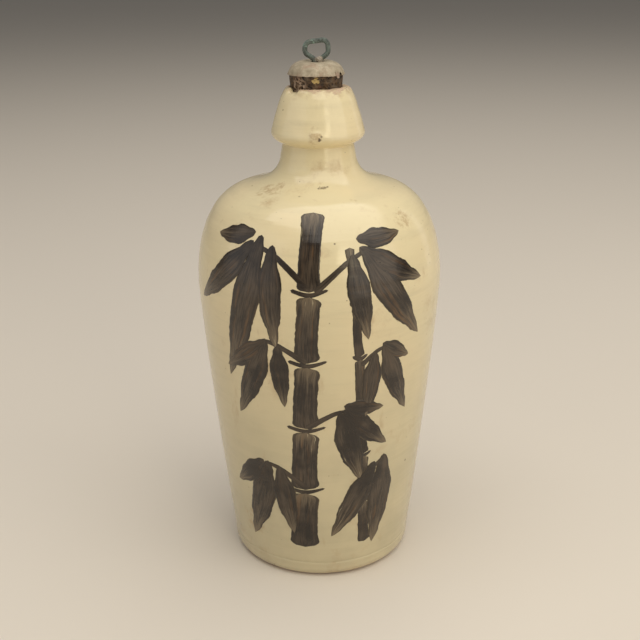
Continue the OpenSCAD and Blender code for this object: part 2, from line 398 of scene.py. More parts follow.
def glaze_relief(tree, place, dark, worn):
    """How high the glaze lies, in metres: skin, finger lines, pinholes, marks and worn places."""
    pinholes = spots(tree, place, 7.5 * mm, 0.4 * mm, 0.35, 0.19)
    skin = cloud(tree, place, 6 * mm, 2, 0.5, 9.1)
    flattened = vector_calc(tree, "MULTIPLY", place, (0.5, 0.5, 12.0))
    finger_lines = cloud(tree, flattened, 30 * mm, 3, 0.55, 7.3)
    relief = 0.0
    for layer_of, depth in (
        (skin, 0.07 * mm),
        (finger_lines, 0.16 * mm),
        (pinholes, -0.18 * mm),
        (dark, -0.05 * mm),
        (worn, 0.6 * mm),
    ):
        relief = calc(tree, "MULTIPLY_ADD", layer_of, depth, relief)
    return relief


def glaze_look(tree):
    """The glaze's colour, gloss and relief, from object coordinates: returns colour, roughness, height."""
    place = add(tree, "ShaderNodeTexCoord").outputs["Object"]
    axes = add(tree, "ShaderNodeSeparateXYZ", {"Vector": place}).outputs
    height = axes["Z"]
    mottled = cloud(tree, place, 4 * mm, 5, 0.7, 6.1)
    dark = dark_marks(tree, place)
    tint = glaze_colour(tree, place, axes, mottled, dark)

    ragged = cloud(tree, place, 3.5 * mm, 5, 0.65, 4.4)
    worn_patch = calc(tree, "MULTIPLY_ADD", axes["X"], 6.0, cloud(tree, place, 9 * mm, 3, 0.6, 7.7))
    rim_wear = calc(tree, "MULTIPLY_ADD", worn_patch, 6 * mm, height)
    rim_wear = calc(tree, "MULTIPLY_ADD", ragged, 4.5 * mm, rim_wear)
    near_rim = ramp(tree, rim_wear, rim_z + 3.6 * mm, rim_z + 5.2 * mm, 0.0, 0.8)
    stained = calc(tree, "MULTIPLY_ADD", mottled, 16 * mm, height)
    rim_stain = ramp(tree, stained, rim_z + 2.5 * mm, rim_z + 9.5 * mm, 0.0, 0.45)
    tint = blend_colour(tree, rim_stain, tint, STAIN)
    tint = blend_colour(tree, near_rim, tint, CLAY)
    under = ramp(tree, calc(tree, "MULTIPLY_ADD", ragged, 1.2 * mm, height), 2.2 * mm, 1.2 * mm)
    tint = blend_colour(tree, under, tint, CLAY)

    bare = calc(tree, "MAXIMUM", near_rim, under)
    gloss = ramp(tree, cloud(tree, place, 20 * mm, 4, 0.6, 6.6), 0.3, 0.75, 0.10, 0.20)
    rough = calc(tree, "MULTIPLY_ADD", bare, 0.6, gloss, clamp=True)
    rough = calc(tree, "MULTIPLY_ADD", dark, 0.15, rough, clamp=True)
    relief = glaze_relief(tree, place, dark, calc(tree, "MULTIPLY", bare, ragged))
    return tint, rough, relief


# %% The glaze as a material
GLAZE_IOR = 1.52
glaze, glaze_tree, glaze_shader = new_material("cream_glaze", CREAM[:3])
dress(glaze_tree, glaze_shader, *glaze_look(glaze_tree))
glaze_shader.inputs["IOR"].default_value = GLAZE_IOR
print("glaze nodes:", len(glaze_tree.nodes))

# %% [markdown]
# ## A lathe made of nodes
# The flask and its cork are turned shapes: one outline carried round an axis. A Geometry Nodes tree can
# do that for any outline. It lays out a grid, reads the outline's point for each row, and swings it
# round by the column. Two marks stored on the outline's points say how much of the throwing rings and
# of the pitting each stretch gets, so the same tree can throw a smooth pot and a crumbling cork.


# %% Opening and closing a tree
def group_input(tree, name, kind, default=None):
    """A named input on the tree."""
    socket = tree.interface.new_socket(name, in_out="INPUT", socket_type=kind)
    if default is not None:
        socket.default_value = default


def open_tree(name, sizes, count, finish):
    """A tree that takes and gives geometry, with named sizes, one count and a finish as inputs."""
    tree = bpy.data.node_groups.new(name, "GeometryNodeTree")
    for way in ("INPUT", "OUTPUT"):
        tree.interface.new_socket("Geometry", in_out=way, socket_type="NodeSocketGeometry")
    for size in sizes:
        group_input(tree, size, "NodeSocketFloat", 1 * mm)
    group_input(tree, count, "NodeSocketInt", 24)
    group_input(tree, finish, "NodeSocketMaterial")
    return tree


def close_tree(tree, geometry, finish):
    """Makes instances real, gives the finish and hands the geometry out."""
    real = add(tree, "GeometryNodeRealizeInstances", {"Geometry": geometry})
    done = add(tree, "GeometryNodeSetMaterial", {"Geometry": real.outputs[0], "Material": finish})
    feed(tree, tree.nodes.new("NodeGroupOutput").inputs["Geometry"], done.outputs[0])


def stored(tree, name):
    """The value of a float attribute with this name."""
    found = add(tree, "GeometryNodeInputNamedAttribute", {"Name": name}, data_type="FLOAT")
    return found.outputs["Attribute"]


# %% The lathe
def lathe_tree():
    """Turns an outline of points in the XZ plane into a closed solid of revolution."""
    sizes = ("Ring depth", "Ring pitch", "Wobble", "Wobble size", "Pit depth", "Pit size", "Seed")
    tree = open_tree("lathe", sizes, "Around", "Finish")
    given = tree.nodes.new("NodeGroupInput").outputs
    outline = given["Geometry"]

    count = add(tree, "GeometryNodeAttributeDomainSize", {"Geometry": outline}).outputs["Point Count"]
    columns = calc(tree, "ADD", given["Around"], 1)
    grid = add(tree, "GeometryNodeMeshGrid", {"Vertices X": columns, "Vertices Y": count}).outputs["Mesh"]
    index = add(tree, "GeometryNodeInputIndex").outputs["Index"]
    column = calc(tree, "FLOOR", calc(tree, "DIVIDE", calc(tree, "ADD", index, 0.5), count))
    row = calc(tree, "SUBTRACT", index, calc(tree, "MULTIPLY", column, count))

    def from_outline(value, data_type):
        """A value of the outline's point in this row."""
        picked = add(tree, "GeometryNodeSampleIndex", {"Index": row}, data_type=data_type)
        feed(tree, picked.inputs["Geometry"], outline)
        feed(tree, picked.inputs["Value"], value)
        return picked.outputs["Value"]

    point = from_outline(add(tree, "GeometryNodeInputPosition").outputs["Position"], "FLOAT_VECTOR")
    split = add(tree, "ShaderNodeSeparateXYZ", {"Vector": point}).outputs
    turn = calc(tree, "MULTIPLY", calc(tree, "DIVIDE", column, given["Around"]), 2 * math.pi)
    to_front = calc(tree, "MULTIPLY", calc(tree, "COSINE", turn), -1.0)
    to_side = calc(tree, "SINE", turn)
    outward = add(tree, "ShaderNodeCombineXYZ", {"X": to_side, "Y": to_front}).outputs["Vector"]
    lifted = add(tree, "ShaderNodeCombineXYZ", {"Z": split["Z"]}).outputs["Vector"]
    place = vector_calc(tree, "ADD", scaled(tree, outward, split["X"]), lifted)
    seed = add(tree, "ShaderNodeCombineXYZ", {"X": given["Seed"]}).outputs["Vector"]
    seeded = vector_calc(tree, "ADD", place, seed)

    def noise_of(size, detail):
        """Noise from -1 to 1 with features of that size."""
        made = add(tree, "ShaderNodeTexNoise", {"Vector": seeded, "Detail": detail})
        feed(tree, made.inputs["Scale"], calc(tree, "DIVIDE", 1.0, size))
        return calc(tree, "MULTIPLY_ADD", made.outputs["Fac"], 2.0, -1.0)

    drift = calc(tree, "MULTIPLY", noise_of(0.05, 2.0), 2.5)
    turns_up = calc(tree, "DIVIDE", split["Z"], given["Ring pitch"])
    phase = calc(tree, "MULTIPLY_ADD", turns_up, 2 * math.pi, drift)
    rings = calc(tree, "MULTIPLY", calc(tree, "SINE", phase), given["Ring depth"])
    wobble = calc(tree, "MULTIPLY", noise_of(given["Wobble size"], 2.0), given["Wobble"])
    soft_share = from_outline(stored(tree, "soft"), "FLOAT")
    soft = calc(tree, "MULTIPLY", calc(tree, "ADD", rings, wobble), soft_share)
    hollow = ramp(tree, noise_of(given["Pit size"], 5.0), 0.02, 0.5)
    pit_share = from_outline(stored(tree, "pits"), "FLOAT")
    pits = calc(tree, "MULTIPLY", calc(tree, "MULTIPLY", hollow, given["Pit depth"]), pit_share)
    shift = scaled(tree, outward, calc(tree, "SUBTRACT", soft, pits))
    moved = add(tree, "GeometryNodeSetPosition", {"Geometry": grid})
    feed(tree, moved.inputs["Position"], vector_calc(tree, "ADD", place, shift))
    joined = add(tree, "GeometryNodeMergeByDistance", {"Geometry": moved.outputs[0], "Distance": 1e-6})
    close_tree(tree, joined.outputs[0], given["Finish"])
    return tree


# %% Running a tree and keeping its result
def guide_mesh(name, points, edges, **marks):
    """A mesh of points and edges only, with a float mark for each point."""
    mesh = bpy.data.meshes.new(name)
    mesh.from_pydata(points, edges, [])
    for mark, values in marks.items():
        mesh.attributes.new(mark, "FLOAT", "POINT").data.foreach_set("value", values)
    return place_object(name, mesh)


def outline_guide(name, outline, **marks):
    """A guide of one line through flat points, which stand up in the XZ plane."""
    edges = [(i, i + 1) for i in range(len(outline) - 1)]
    return guide_mesh(name, [(q.x, 0, q.y) for q in outline], edges, **marks)


def run_tree(guide, tree, name, **values):
    """Runs the tree on the guide with these inputs, and returns the result as a plain mesh object."""
    modifier = guide.modifiers.new("tree", "NODES")
    modifier.node_group = tree
    by_name = {item.name: item.identifier for item in tree.interface.items_tree if item.in_out == "INPUT"}
    for label, value in values.items():
        modifier[by_name[label.replace("_", " ")]] = value
    bpy.context.view_layer.update()
    seen = guide.evaluated_get(bpy.context.evaluated_depsgraph_get())
    mesh = bpy.data.meshes.new_from_object(seen)
    mesh.name = name
    made = place_object(name, mesh)
    guide.modifiers.clear()
    bpy.data.objects.remove(guide)
    return made


def face_outwards(made, sharp_angle=40):
    """Turns every face outwards and shades the mesh smooth, with its real corners kept sharp."""
    shape = bmesh.new()
    shape.from_mesh(made.data)
    bmesh.ops.dissolve_degenerate(shape, edges=shape.edges, dist=1e-7)
    bmesh.ops.recalc_face_normals(shape, faces=shape.faces)
    if shape.calc_volume(signed=True) < 0:
        bmesh.ops.reverse_faces(shape, faces=shape.faces)
    shape.to_mesh(made.data)
    shape.free()
    made.data.shade_smooth()
    made.data.set_sharp_from_angle(angle=math.radians(sharp_angle))


def triangles(made):
    """How many triangles the piece has."""
    return sum(len(p.vertices) - 2 for p in made.data.polygons)


# %% [markdown]
# ## The flask's outline
# The outline is a chain of Bezier curves: foot, wall, shoulder, neck, collar and rim, then back down the
# inside. Each curve gets as many points as its detail needs, so the rim is fine and the floor coarse.


# %% The outline, from the foot up and back down inside
def bezier(points, steps, depth=0.0, first=0):
    """Points along a cubic curve, moved in by depth on the left of its direction."""
    a, b, c, d = (Vector(p) for p in points)
    made = []
    for i in range(first, steps + 1):
        t = i / steps
        at = (1 - t) ** 3 * a + 3 * (1 - t) ** 2 * t * b + 3 * (1 - t) * t * t * c + t**3 * d
        heading = (1 - t) ** 2 * (b - a) + 2 * (1 - t) * t * (c - b) + t * t * (d - c)
        heading.normalize()
        made.append(at + depth * Vector((-heading.y, heading.x)))
    return made


def arc(middle, radius, start, end, steps):
    """Points along an arc, angles in degrees."""
    turns = (math.radians(start + (end - start) * i / steps) for i in range(steps + 1))
    return [Vector(middle) + radius * Vector((math.cos(a), math.sin(a))) for a in turns]


side = (
    (foot_r, band_h),
    (foot_r + 6.2 * mm, band_h + 51.5 * mm),
    (body_r, belly_z - 18 * mm),
    (body_r, belly_z),
)
shoulder = (
    (body_r, belly_z),
    (body_r, belly_z + 0.44 * (shoulder_z - belly_z)),
    (shoulder_r + 18.2 * mm, shoulder_z - 4.1 * mm),
    (shoulder_r, shoulder_z),
)
neck = (
    (shoulder_r, shoulder_z),
    (shoulder_r - 11.2 * mm, shoulder_z + 2.9 * mm),
    (neck_r + 2.8 * mm, shoulder_z + 5.4 * mm),
    (neck_r + 1.2 * mm, collar_z - 7.2 * mm),
)
under_collar = (
    (neck_r, collar_z),
    (neck_r + 2.95 * mm, collar_z + 1.8 * mm),
    (collar_r + 0.4 * mm, collar_z + 3.1 * mm),
    (collar_r, collar_z + 6.5 * mm),
)
collar = (
    (collar_r, collar_z + 6.5 * mm),
    (collar_r - 0.4 * mm, collar_z + 9.1 * mm),
    (rim_r + 3.7 * mm, rim_z - 8.2 * mm),
    (rim_r + 2.6 * mm, rim_z - 5.4 * mm),
)
rim = (
    (rim_r + 2.6 * mm, rim_z - 5.4 * mm),
    (rim_r + 1.4 * mm, rim_z - 2.6 * mm),
    (rim_r + 0.4 * mm, rim_z),
    (rim_r - 1.9 * mm, rim_z),
)
trim_groove = [
    Vector((foot_r - 0.05 * mm, band_h - 0.9 * mm)),
    Vector((foot_r - 0.32 * mm, band_h - 0.3 * mm)),
    Vector((foot_r + 0.02 * mm, band_h + 0.4 * mm)),
]


def flask_outline():
    """The outline's points with, for each, its share of the throwing rings."""
    inner_side = bezier(side, 26, wall)
    floor_curve = (
        inner_side[0] + Vector((-10 * mm, floor_t - inner_side[0].y)),
        inner_side[0] + Vector((-5 * mm, floor_t - inner_side[0].y)),
        inner_side[0] + Vector((-1 * mm, floor_t + 1 * mm - inner_side[0].y)),
        inner_side[2],
    )
    round_r = foot_r - band_draw - foot_round
    hollow_r = round_r - foot_land
    band_foot = band_h - 1 * mm - foot_round
    foot = [Vector((hollow_r * i / 12 * 0.93, foot_hollow)) for i in range(13)]
    foot += [Vector((hollow_r + foot_land * i / 4, 0)) for i in range(4)]
    foot += arc((round_r, foot_round), foot_round, -90, 0, 18)
    for i in range(1, 4):
        foot.append(Vector((foot_r - band_draw * (1 - i / 4), foot_round + band_foot * i / 4)))
    outside = trim_groove + bezier(side, 78, first=1) + bezier(shoulder, 44, first=1)
    outside += bezier(neck, 24, first=1)
    head = bezier(under_collar, 14) + bezier(collar, 30, first=1) + bezier(rim, 18, first=1)
    head += arc((mouth_r + rim_round, rim_z - rim_round), rim_round, 90, 180, 6)
    mouth_edge, bore_low = Vector((mouth_r, rim_z - rim_round)), Vector((bore_r, bore_low_z))
    inside = [mouth_edge.lerp(bore_low, i / 12) for i in range(1, 13)]
    inside += [Vector((bore_r, collar_z))]
    rise = bezier(floor_curve, 8) + inner_side[3:] + bezier(shoulder, 18, wall, 1) + bezier(neck, 12, wall, 1)
    inside += rise[::-1]
    inside += [Vector((rise[0].x * i / 6, floor_t)) for i in range(5, -1, -1)]
    points = foot + outside + head + inside
    soft = [0.0] * len(foot) + [1.0] * len(outside) + [0.5] * len(head) + [0.0] * len(inside)
    return points, soft


outline, soft = flask_outline()
guide = outline_guide("flask_outline", outline, soft=soft, pits=[0.0] * len(outline))
lathe = lathe_tree()
flask = run_tree(
    guide,
    lathe,
    "flask",
    Around=216,
    Ring_depth=0.05 * mm,
    Ring_pitch=9 * mm,
    Wobble=0.3 * mm,
    Wobble_size=0.09,
    Pit_depth=0.0,
    Pit_size=0.01,
    Seed=2.0,
    Finish=glaze,
)
print(f"flask: {len(outline)} rows, {triangles(flask)} triangles")

# %% [markdown]
# ## Wear on the rim
# A stopper has knocked the mouth for years: the glaze has gone from its edge, which is uneven, with one
# long chip. The rim's points are pressed down a little by noise, and more inside the chips' windows. The
# potter's hole is not quite in the middle of the collar either, so the inside shifts to the left.

# %% Chips and an uneven rim
# where each chip is round the rim in degrees from the front, half its width in degrees, its depth
CHIPS = ((-50, 18, 1.9 * mm), (64, 7, 0.4 * mm), (128, 11, 0.9 * mm), (205, 8, 0.6 * mm))
WEAR = 0.45 * mm
WORN_HEIGHT = 5 * mm
# how deep a roll of glaze stands on the collar's front, its middle height and half its height
GLAZE_ROLL = 0.35 * mm
ROLL_UP = 6.5 * mm
ROLL_HALF = 4.5 * mm
# the bore's shift to one side, and how softly it starts below the bore and at the rim
OFF_CENTRE = 0.8 * mm
SHIFT_RUN = 12 * mm
BORE_EDGE_R = mouth_r + 1.6 * mm


def bump_window(away, half):
    """1 in the middle, falling steeply to 0 at half."""
    share = min(abs(away) / half, 1)
    return 1 - share**4 * (3 - 2 * share**4)


def turned_from_front(at):
    """How far round a point is from the front, in degrees."""
    return math.degrees(math.atan2(at.x, -at.y))


def outward_from_axis(at):
    """The flat direction from the axis to a point."""
    return Vector((at.x, at.y, 0)).normalized()


def rim_press(at):
    """How far a point of the rim is pressed down by wear and by the chips."""
    top_share = (at.z - (rim_z - WORN_HEIGHT)) / WORN_HEIGHT
    press = WEAR * (0.5 + noise.noise(at * 260)) * top_share
    for where, half, depth in CHIPS:
        gap = (turned_from_front(at) - where + 180) % 360 - 180
        ragged_gap = gap + 2.2 * noise.noise(at * 500)
        press += depth * max(bump_window(ragged_gap, half), 0) * top_share**1.5
    return max(press, 0)


def collar_bulge(at):
    """How far a point of the collar stands out, by a slanting roll of glaze and by hand."""
    up = at.z - collar_z
    slant = turned_from_front(at) - 4 + 0.8 * (up - 6 * mm) / mm
    roll = bump_window(slant, 17) * bump_window(up - ROLL_UP, ROLL_HALF)
    return GLAZE_ROLL * roll * (0.7 + noise.noise(at * 180)) + 0.12 * mm * noise.noise(at * 130)


for vertex in flask.data.vertices:
    at = vertex.co
    radius = math.hypot(at.x, at.y)
    if at.z > rim_z - WORN_HEIGHT and radius > mouth_r - 0.3 * mm:
        vertex.co.z -= rim_press(at)
    elif at.z > collar_z + 2 * mm and radius > neck_r + 3 * mm:
        vertex.co += outward_from_axis(at) * collar_bulge(at)
for vertex in flask.data.vertices:
    at = vertex.co
    radius = math.hypot(at.x, at.y)
    if radius < BORE_EDGE_R and at.z > bore_low_z - SHIFT_RUN:
        up_share = min(1, (at.z - bore_low_z + SHIFT_RUN) / SHIFT_RUN)
        inner_share = min(1, (BORE_EDGE_R - radius) / (1.0 * mm))
        vertex.co.x -= OFF_CENTRE * up_share * inner_share
face_outwards(flask)
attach(flask, "flask")
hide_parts("bottle")
print(f"flask stands {flask.dimensions.z * 1000:.1f} mm high")

# %% [markdown]
# ## Iron ink
# The brushwork is iron pigment, painted on and fired. Where the brush was loaded it is a dark umber;
# bristles leave lighter streaks along the stroke, thin edges turn olive brown, and where the brush ran
# dry the glaze shows through. The material reads the stroke's own coordinates: how far along, and how
# far across. Where it is dry it falls back on exactly the same glaze as the pot.

# %% The ink as a material
UMBER = (0.022, 0.016, 0.011, 1)
SOFT_UMBER = (0.078, 0.056, 0.037, 1)
RUST = (0.16, 0.080, 0.028, 1)
OLIVE_WASH = (0.24, 0.18, 0.09, 1)
TAN = (0.185, 0.140, 0.088, 1)
NEAR_BLACK = (0.013, 0.008, 0.005, 1)

ink, ink_tree, ink_shader = new_material("iron_brushwork", UMBER[:3])
under_tint, _, under_relief = glaze_look(ink_tree)
stroke = add(ink_tree, "ShaderNodeUVMap", uv_map="UVMap").outputs["UV"]
stroke_axes = add(ink_tree, "ShaderNodeSeparateXYZ", {"Vector": stroke}).outputs
dry = add(ink_tree, "ShaderNodeAttribute", attribute_name="dry").outputs["Fac"]
layer = add(ink_tree, "ShaderNodeAttribute", attribute_name="layer").outputs["Fac"]
across = calc(ink_tree, "ABSOLUTE", stroke_axes["Y"])


def bristles(along_scale, across_scale, detail, seed):
    """Streaks that run along the stroke, from 0 to 1."""
    strand = add(ink_tree, "ShaderNodeCombineXYZ", {"Z": calc(ink_tree, "MULTIPLY_ADD", layer, 3.7, seed)})
    feed(ink_tree, strand.inputs["X"], calc(ink_tree, "MULTIPLY", stroke_axes["X"], along_scale))
    feed(ink_tree, strand.inputs["Y"], calc(ink_tree, "MULTIPLY", stroke_axes["Y"], across_scale))
    made = add(ink_tree, "ShaderNodeTexNoise", {"Scale": 1.0, "Detail": detail, "Roughness": 0.6})
    feed(ink_tree, made.inputs["Vector"], strand.outputs["Vector"])
    return made.outputs["Fac"]


broad = bristles(5, 2.2, 3, 0.0)
fine = bristles(9, 11.0, 4, 5.0)
streak = calc(ink_tree, "MULTIPLY_ADD", fine, 0.6, calc(ink_tree, "MULTIPLY", broad, 0.4))
ink_tint = blend_colour(ink_tree, ramp(ink_tree, streak, 0.38, 0.60), UMBER, SOFT_UMBER)
rust_streaks = ramp(ink_tree, bristles(4, 3.0, 3, 9.0), 0.54, 0.70)
rusty = calc(ink_tree, "MULTIPLY", rust_streaks, ramp(ink_tree, dry, 0.1, 0.8, 0.15, 0.8))
ink_tint = blend_colour(ink_tree, rusty, ink_tint, RUST)
ink_place = add(ink_tree, "ShaderNodeTexCoord").outputs["Object"]
thick = ramp(ink_tree, cloud(ink_tree, ink_place, 28 * mm, 3, 0.6, 4.9), 0.46, 0.62, 0.0, 0.8)
ink_tint = blend_colour(ink_tree, thick, ink_tint, NEAR_BLACK)
thin_line = calc(ink_tree, "MULTIPLY_ADD", streak, 0.8, calc(ink_tree, "MULTIPLY", dry, 0.9))
thin_ink = ramp(ink_tree, thin_line, 0.86, 1.16, 0.0, 0.85)
ink_tint = blend_colour(ink_tree, thin_ink, ink_tint, TAN)
pooled = ramp(ink_tree, calc(ink_tree, "MULTIPLY_ADD", broad, 0.35, across), 0.82, 1.02, 0.0, 0.65)
ink_tint = blend_colour(ink_tree, pooled, ink_tint, UMBER)
edge = ramp(ink_tree, calc(ink_tree, "MULTIPLY_ADD", fine, 0.25, across), 1.04, 1.16, 0.0, 0.7)
ink_tint = blend_colour(ink_tree, edge, ink_tint, OLIVE_WASH)
missing_level = calc(ink_tree, "MULTIPLY_ADD", dry, -0.27, 0.80)
missing = ramp(ink_tree, streak, missing_level, calc(ink_tree, "ADD", missing_level, 0.07))
ink_tint = blend_colour(ink_tree, missing, ink_tint, under_tint)
ink_rough = calc(ink_tree, "MULTIPLY_ADD", streak, 0.22, 0.10, clamp=True)
ink_relief = calc(ink_tree, "MULTIPLY_ADD", streak, -0.1 * mm, under_relief)
dress(ink_tree, ink_shader, ink_tint, ink_rough, ink_relief)
ink_shader.inputs["IOR"].default_value = GLAZE_IOR
print("ink nodes:", len(ink_tree.nodes))

# %% [markdown]
# ## A brush made of nodes
# A stroke follows a path on a curved pot, so it suits Geometry Nodes. The path's points carry how wide
# the brush was pressed. The tree sweeps a ring along the path, flattens it onto the pot's surface by
# asking for the nearest point and its direction, rounds the two ends and roughens the edges. Each
# stroke lies a hair above the one before it, as wet ink does, and its rim dips under the glaze.


# %% The brush
def brush_tree():
    """Sweeps closed, very thin strokes along guide paths and lays them on the pot."""
    sizes = ("Step", "Ragged", "Thickness", "Layer gap", "Sunk", "End rounding")
    tree = open_tree("brush", sizes, "Ring points", "Ink")
    group_input(tree, "Pot", "NodeSocketObject")
    given = tree.nodes.new("NodeGroupInput").outputs
    pot = add(tree, "GeometryNodeObjectInfo", {"Object": given["Pot"]}).outputs["Geometry"]
    normal = add(tree, "GeometryNodeInputNormal").outputs["Normal"]
    position = add(tree, "GeometryNodeInputPosition").outputs["Position"]

    def pot_normal(place):
        """The pot's outward direction nearest to a place."""
        found = add(tree, "GeometryNodeSampleNearestSurface", {"Mesh": pot}, data_type="FLOAT_VECTOR")
        feed(tree, found.inputs["Sample Position"], place)
        feed(tree, found.inputs["Value"], normal)
        return vector_calc(tree, "NORMALIZE", found.outputs["Value"])

    paths = add(tree, "GeometryNodeMeshToCurve", {"Mesh": given["Geometry"]}).outputs["Curve"]
    paths = add(tree, "GeometryNodeResampleCurve", {"Curve": paths, "Length": given["Step"]}, mode="LENGTH")
    paths = paths.outputs["Curve"]
    along = add(tree, "GeometryNodeSplineParameter").outputs["Length"]
    whole = add(tree, "GeometryNodeSplineLength").outputs["Length"]
    width = stored(tree, "half_width")
    to_end = calc(tree, "MINIMUM", along, calc(tree, "SUBTRACT", whole, along))
    end_length = calc(tree, "MULTIPLY", width, given["End rounding"])
    share = calc(tree, "SUBTRACT", 1.0, calc(tree, "DIVIDE", to_end, end_length, clamp=True))
    rounding = calc(tree, "SQRT", calc(tree, "SUBTRACT", 1.0, calc(tree, "MULTIPLY", share, share)))
    rounded = calc(tree, "MAXIMUM", calc(tree, "MULTIPLY", width, rounding), 0.02 * mm)
    tangent = add(tree, "GeometryNodeInputTangent").outputs["Tangent"]
    sideways = vector_calc(tree, "CROSS_PRODUCT", tangent, pot_normal(position))
    sideways = vector_calc(tree, "NORMALIZE", sideways)

    def keep(geometry, value, kind):
        """Captures a value on the points; returns the geometry and the kept value."""
        node = tree.nodes.new("GeometryNodeCaptureAttribute")
        feed(tree, node.inputs["Geometry"], geometry)
        node.capture_items.new(kind, "kept")
        feed(tree, node.inputs["kept"], value)
        return node.outputs["Geometry"], node.outputs["kept"]

    paths, kept_centre = keep(paths, position, "VECTOR")
    paths, kept_side = keep(paths, sideways, "VECTOR")
    paths, kept_width = keep(paths, rounded, "FLOAT")
    paths, kept_along = keep(paths, along, "FLOAT")
    ring = add(tree, "GeometryNodeCurvePrimitiveCircle", {"Radius": 1 * mm})
    feed(tree, ring.inputs["Resolution"], given["Ring points"])
    ring_share = vector_calc(tree, "MULTIPLY", position, (1000, 1000, 1000))
    ring, ring_place = keep(ring.outputs["Curve"], ring_share, "VECTOR")
    swept = add(tree, "GeometryNodeCurveToMesh", {"Curve": paths, "Profile Curve": ring, "Fill Caps": True})

    ring_axes = add(tree, "ShaderNodeSeparateXYZ", {"Vector": ring_place}).outputs
    aside = scaled(tree, kept_side, calc(tree, "MULTIPLY", ring_axes["X"], 10 * mm))
    rag = add(tree, "ShaderNodeTexNoise", {"Scale": 420.0, "Detail": 3.0})
    feed(tree, rag.inputs["Vector"], vector_calc(tree, "ADD", kept_centre, aside))
    rag = calc(tree, "MULTIPLY", calc(tree, "SUBTRACT", rag.outputs["Fac"], 0.5), given["Ragged"])
    rag = calc(tree, "MULTIPLY", rag, calc(tree, "DIVIDE", kept_width, 4 * mm, clamp=True))
    rag = calc(tree, "MULTIPLY", rag, calc(tree, "MULTIPLY_ADD", stored(tree, "dry"), 1.8, 0.8))
    reach = calc(tree, "MULTIPLY", ring_axes["X"], calc(tree, "ADD", kept_width, rag))
    flat = vector_calc(tree, "ADD", kept_centre, scaled(tree, kept_side, reach))
    near = add(tree, "GeometryNodeProximity", {"Sample Position": flat}, target_element="FACES")
    feed(tree, near.inputs["Geometry"], pot)
    raised = calc(tree, "MULTIPLY", calc(tree, "MAXIMUM", ring_axes["Y"], 0.0), given["Thickness"])
    layered = calc(tree, "MULTIPLY", stored(tree, "layer"), given["Layer gap"])
    on_top = calc(tree, "GREATER_THAN", ring_axes["Y"], 0.01)
    underneath = calc(tree, "LESS_THAN", ring_axes["Y"], 0.01)
    raised = calc(tree, "MULTIPLY", calc(tree, "ADD", raised, layered), on_top)
    height = calc(tree, "SUBTRACT", raised, calc(tree, "MULTIPLY", underneath, given["Sunk"]))
    laid = vector_calc(tree, "ADD", near.outputs["Position"], scaled(tree, pot_normal(flat), height))
    placed = add(tree, "GeometryNodeSetPosition", {"Geometry": swept.outputs["Mesh"], "Position": laid})

    stroke_place = add(tree, "ShaderNodeCombineXYZ", {"Y": ring_axes["X"]})
    feed(tree, stroke_place.inputs["X"], calc(tree, "MULTIPLY", kept_along, 10.0))
    mapped = add(tree, "GeometryNodeStoreNamedAttribute", data_type="FLOAT2", domain="CORNER")
    feed(tree, mapped.inputs["Name"], "UVMap")
    feed(tree, mapped.inputs["Geometry"], placed.outputs["Geometry"])
    feed(tree, mapped.inputs["Value"], stroke_place.outputs["Vector"])
    close_tree(tree, mapped.outputs["Geometry"], given["Ink"])
    return tree


# %% [markdown]
# ## What is painted
# A big bamboo stands on the flask's front: a thick culm in jointed lengths, a thin one behind it, twigs,
# and leaves in clusters, each leaf one press and lift of the brush. Places are written as the painter
# would measure them: millimetres to the side of the front's middle, round the pot, and up from the table.


# %% The strokes
OUTER_WALL = bezier(side, 60) + bezier(shoulder, 60, first=1) + bezier(neck, 20, first=1)
ROUND_SCALE = 60 * mm


def surface_radius(z):
    """The pot's outer radius at a height, from its outline."""
    for low, high in zip(OUTER_WALL, OUTER_WALL[1:]):
        if low.y <= z <= high.y:
            return low.x + (high.x - low.x) * (z - low.y) / max(high.y - low.y, 1e-9)
    return OUTER_WALL[-1].x


def on_pot(side_mm, up_mm):
    """The point on the pot that lies side_mm round from the front's middle and up_mm high."""
    turned = side_mm * mm / ROUND_SCALE
    z = up_mm * mm
    radius = surface_radius(z)
    return Vector((radius * math.sin(turned), -radius * math.cos(turned), z))


def between(before, here, there, after, t):
    """A number of the smooth curve through here and there, t of the way along."""
    bend = 2 * before - 5 * here + 4 * there - after
    twist = 3 * here - before - 3 * there + after
    return 0.5 * (2 * here + (there - before) * t + bend * t * t + twist * t**3)


strokes = []


def brush(places, widths, dry_start=0.0, dry_end=0.4, steps=8):
    """One stroke through places (side, up) in millimetres, with the brush's half width at each."""
    smooth = []
    last = len(places) - 1
    for i in range(last):
        four = places[max(i - 1, 0)], places[i], places[i + 1], places[min(i + 2, last)]
        for k in range(steps if i < last - 1 else steps + 1):
            t = k / steps
            side_mm, up_mm = (between(*numbers, t) for numbers in zip(*four))
            ease = t * t * (3 - 2 * t)
            half_width = (widths[i] + (widths[i + 1] - widths[i]) * ease) * mm
            smooth.append((on_pot(side_mm, up_mm), half_width))
    total = len(smooth) - 1
    drier = (dry_end - dry_start) / total
    strokes.append([(spot, width, dry_start + drier * n) for n, (spot, width) in enumerate(smooth)])


def leaf(side_mm, up_mm, angle, length, half_width, bend=0.0, dry_end=0.85):
    """A bamboo leaf from its stem end, pointing at angle degrees from straight up, clockwise."""
    a = math.radians(angle)
    places = []
    for share in (0.0, 0.12, 0.35, 0.62, 0.85, 1.0):
        ahead = length * share
        sag = bend * length * (2 * share - share * share)
        to_side = ahead * math.sin(a) + sag * math.cos(a)
        upwards = ahead * math.cos(a) - sag * math.sin(a)
        places.append((side_mm + to_side, up_mm + upwards))
    widths = [half_width * w for w in (0.16, 0.5, 1.0, 0.86, 0.42, 0.05)]
    brush(places, widths, 0.05, dry_end)


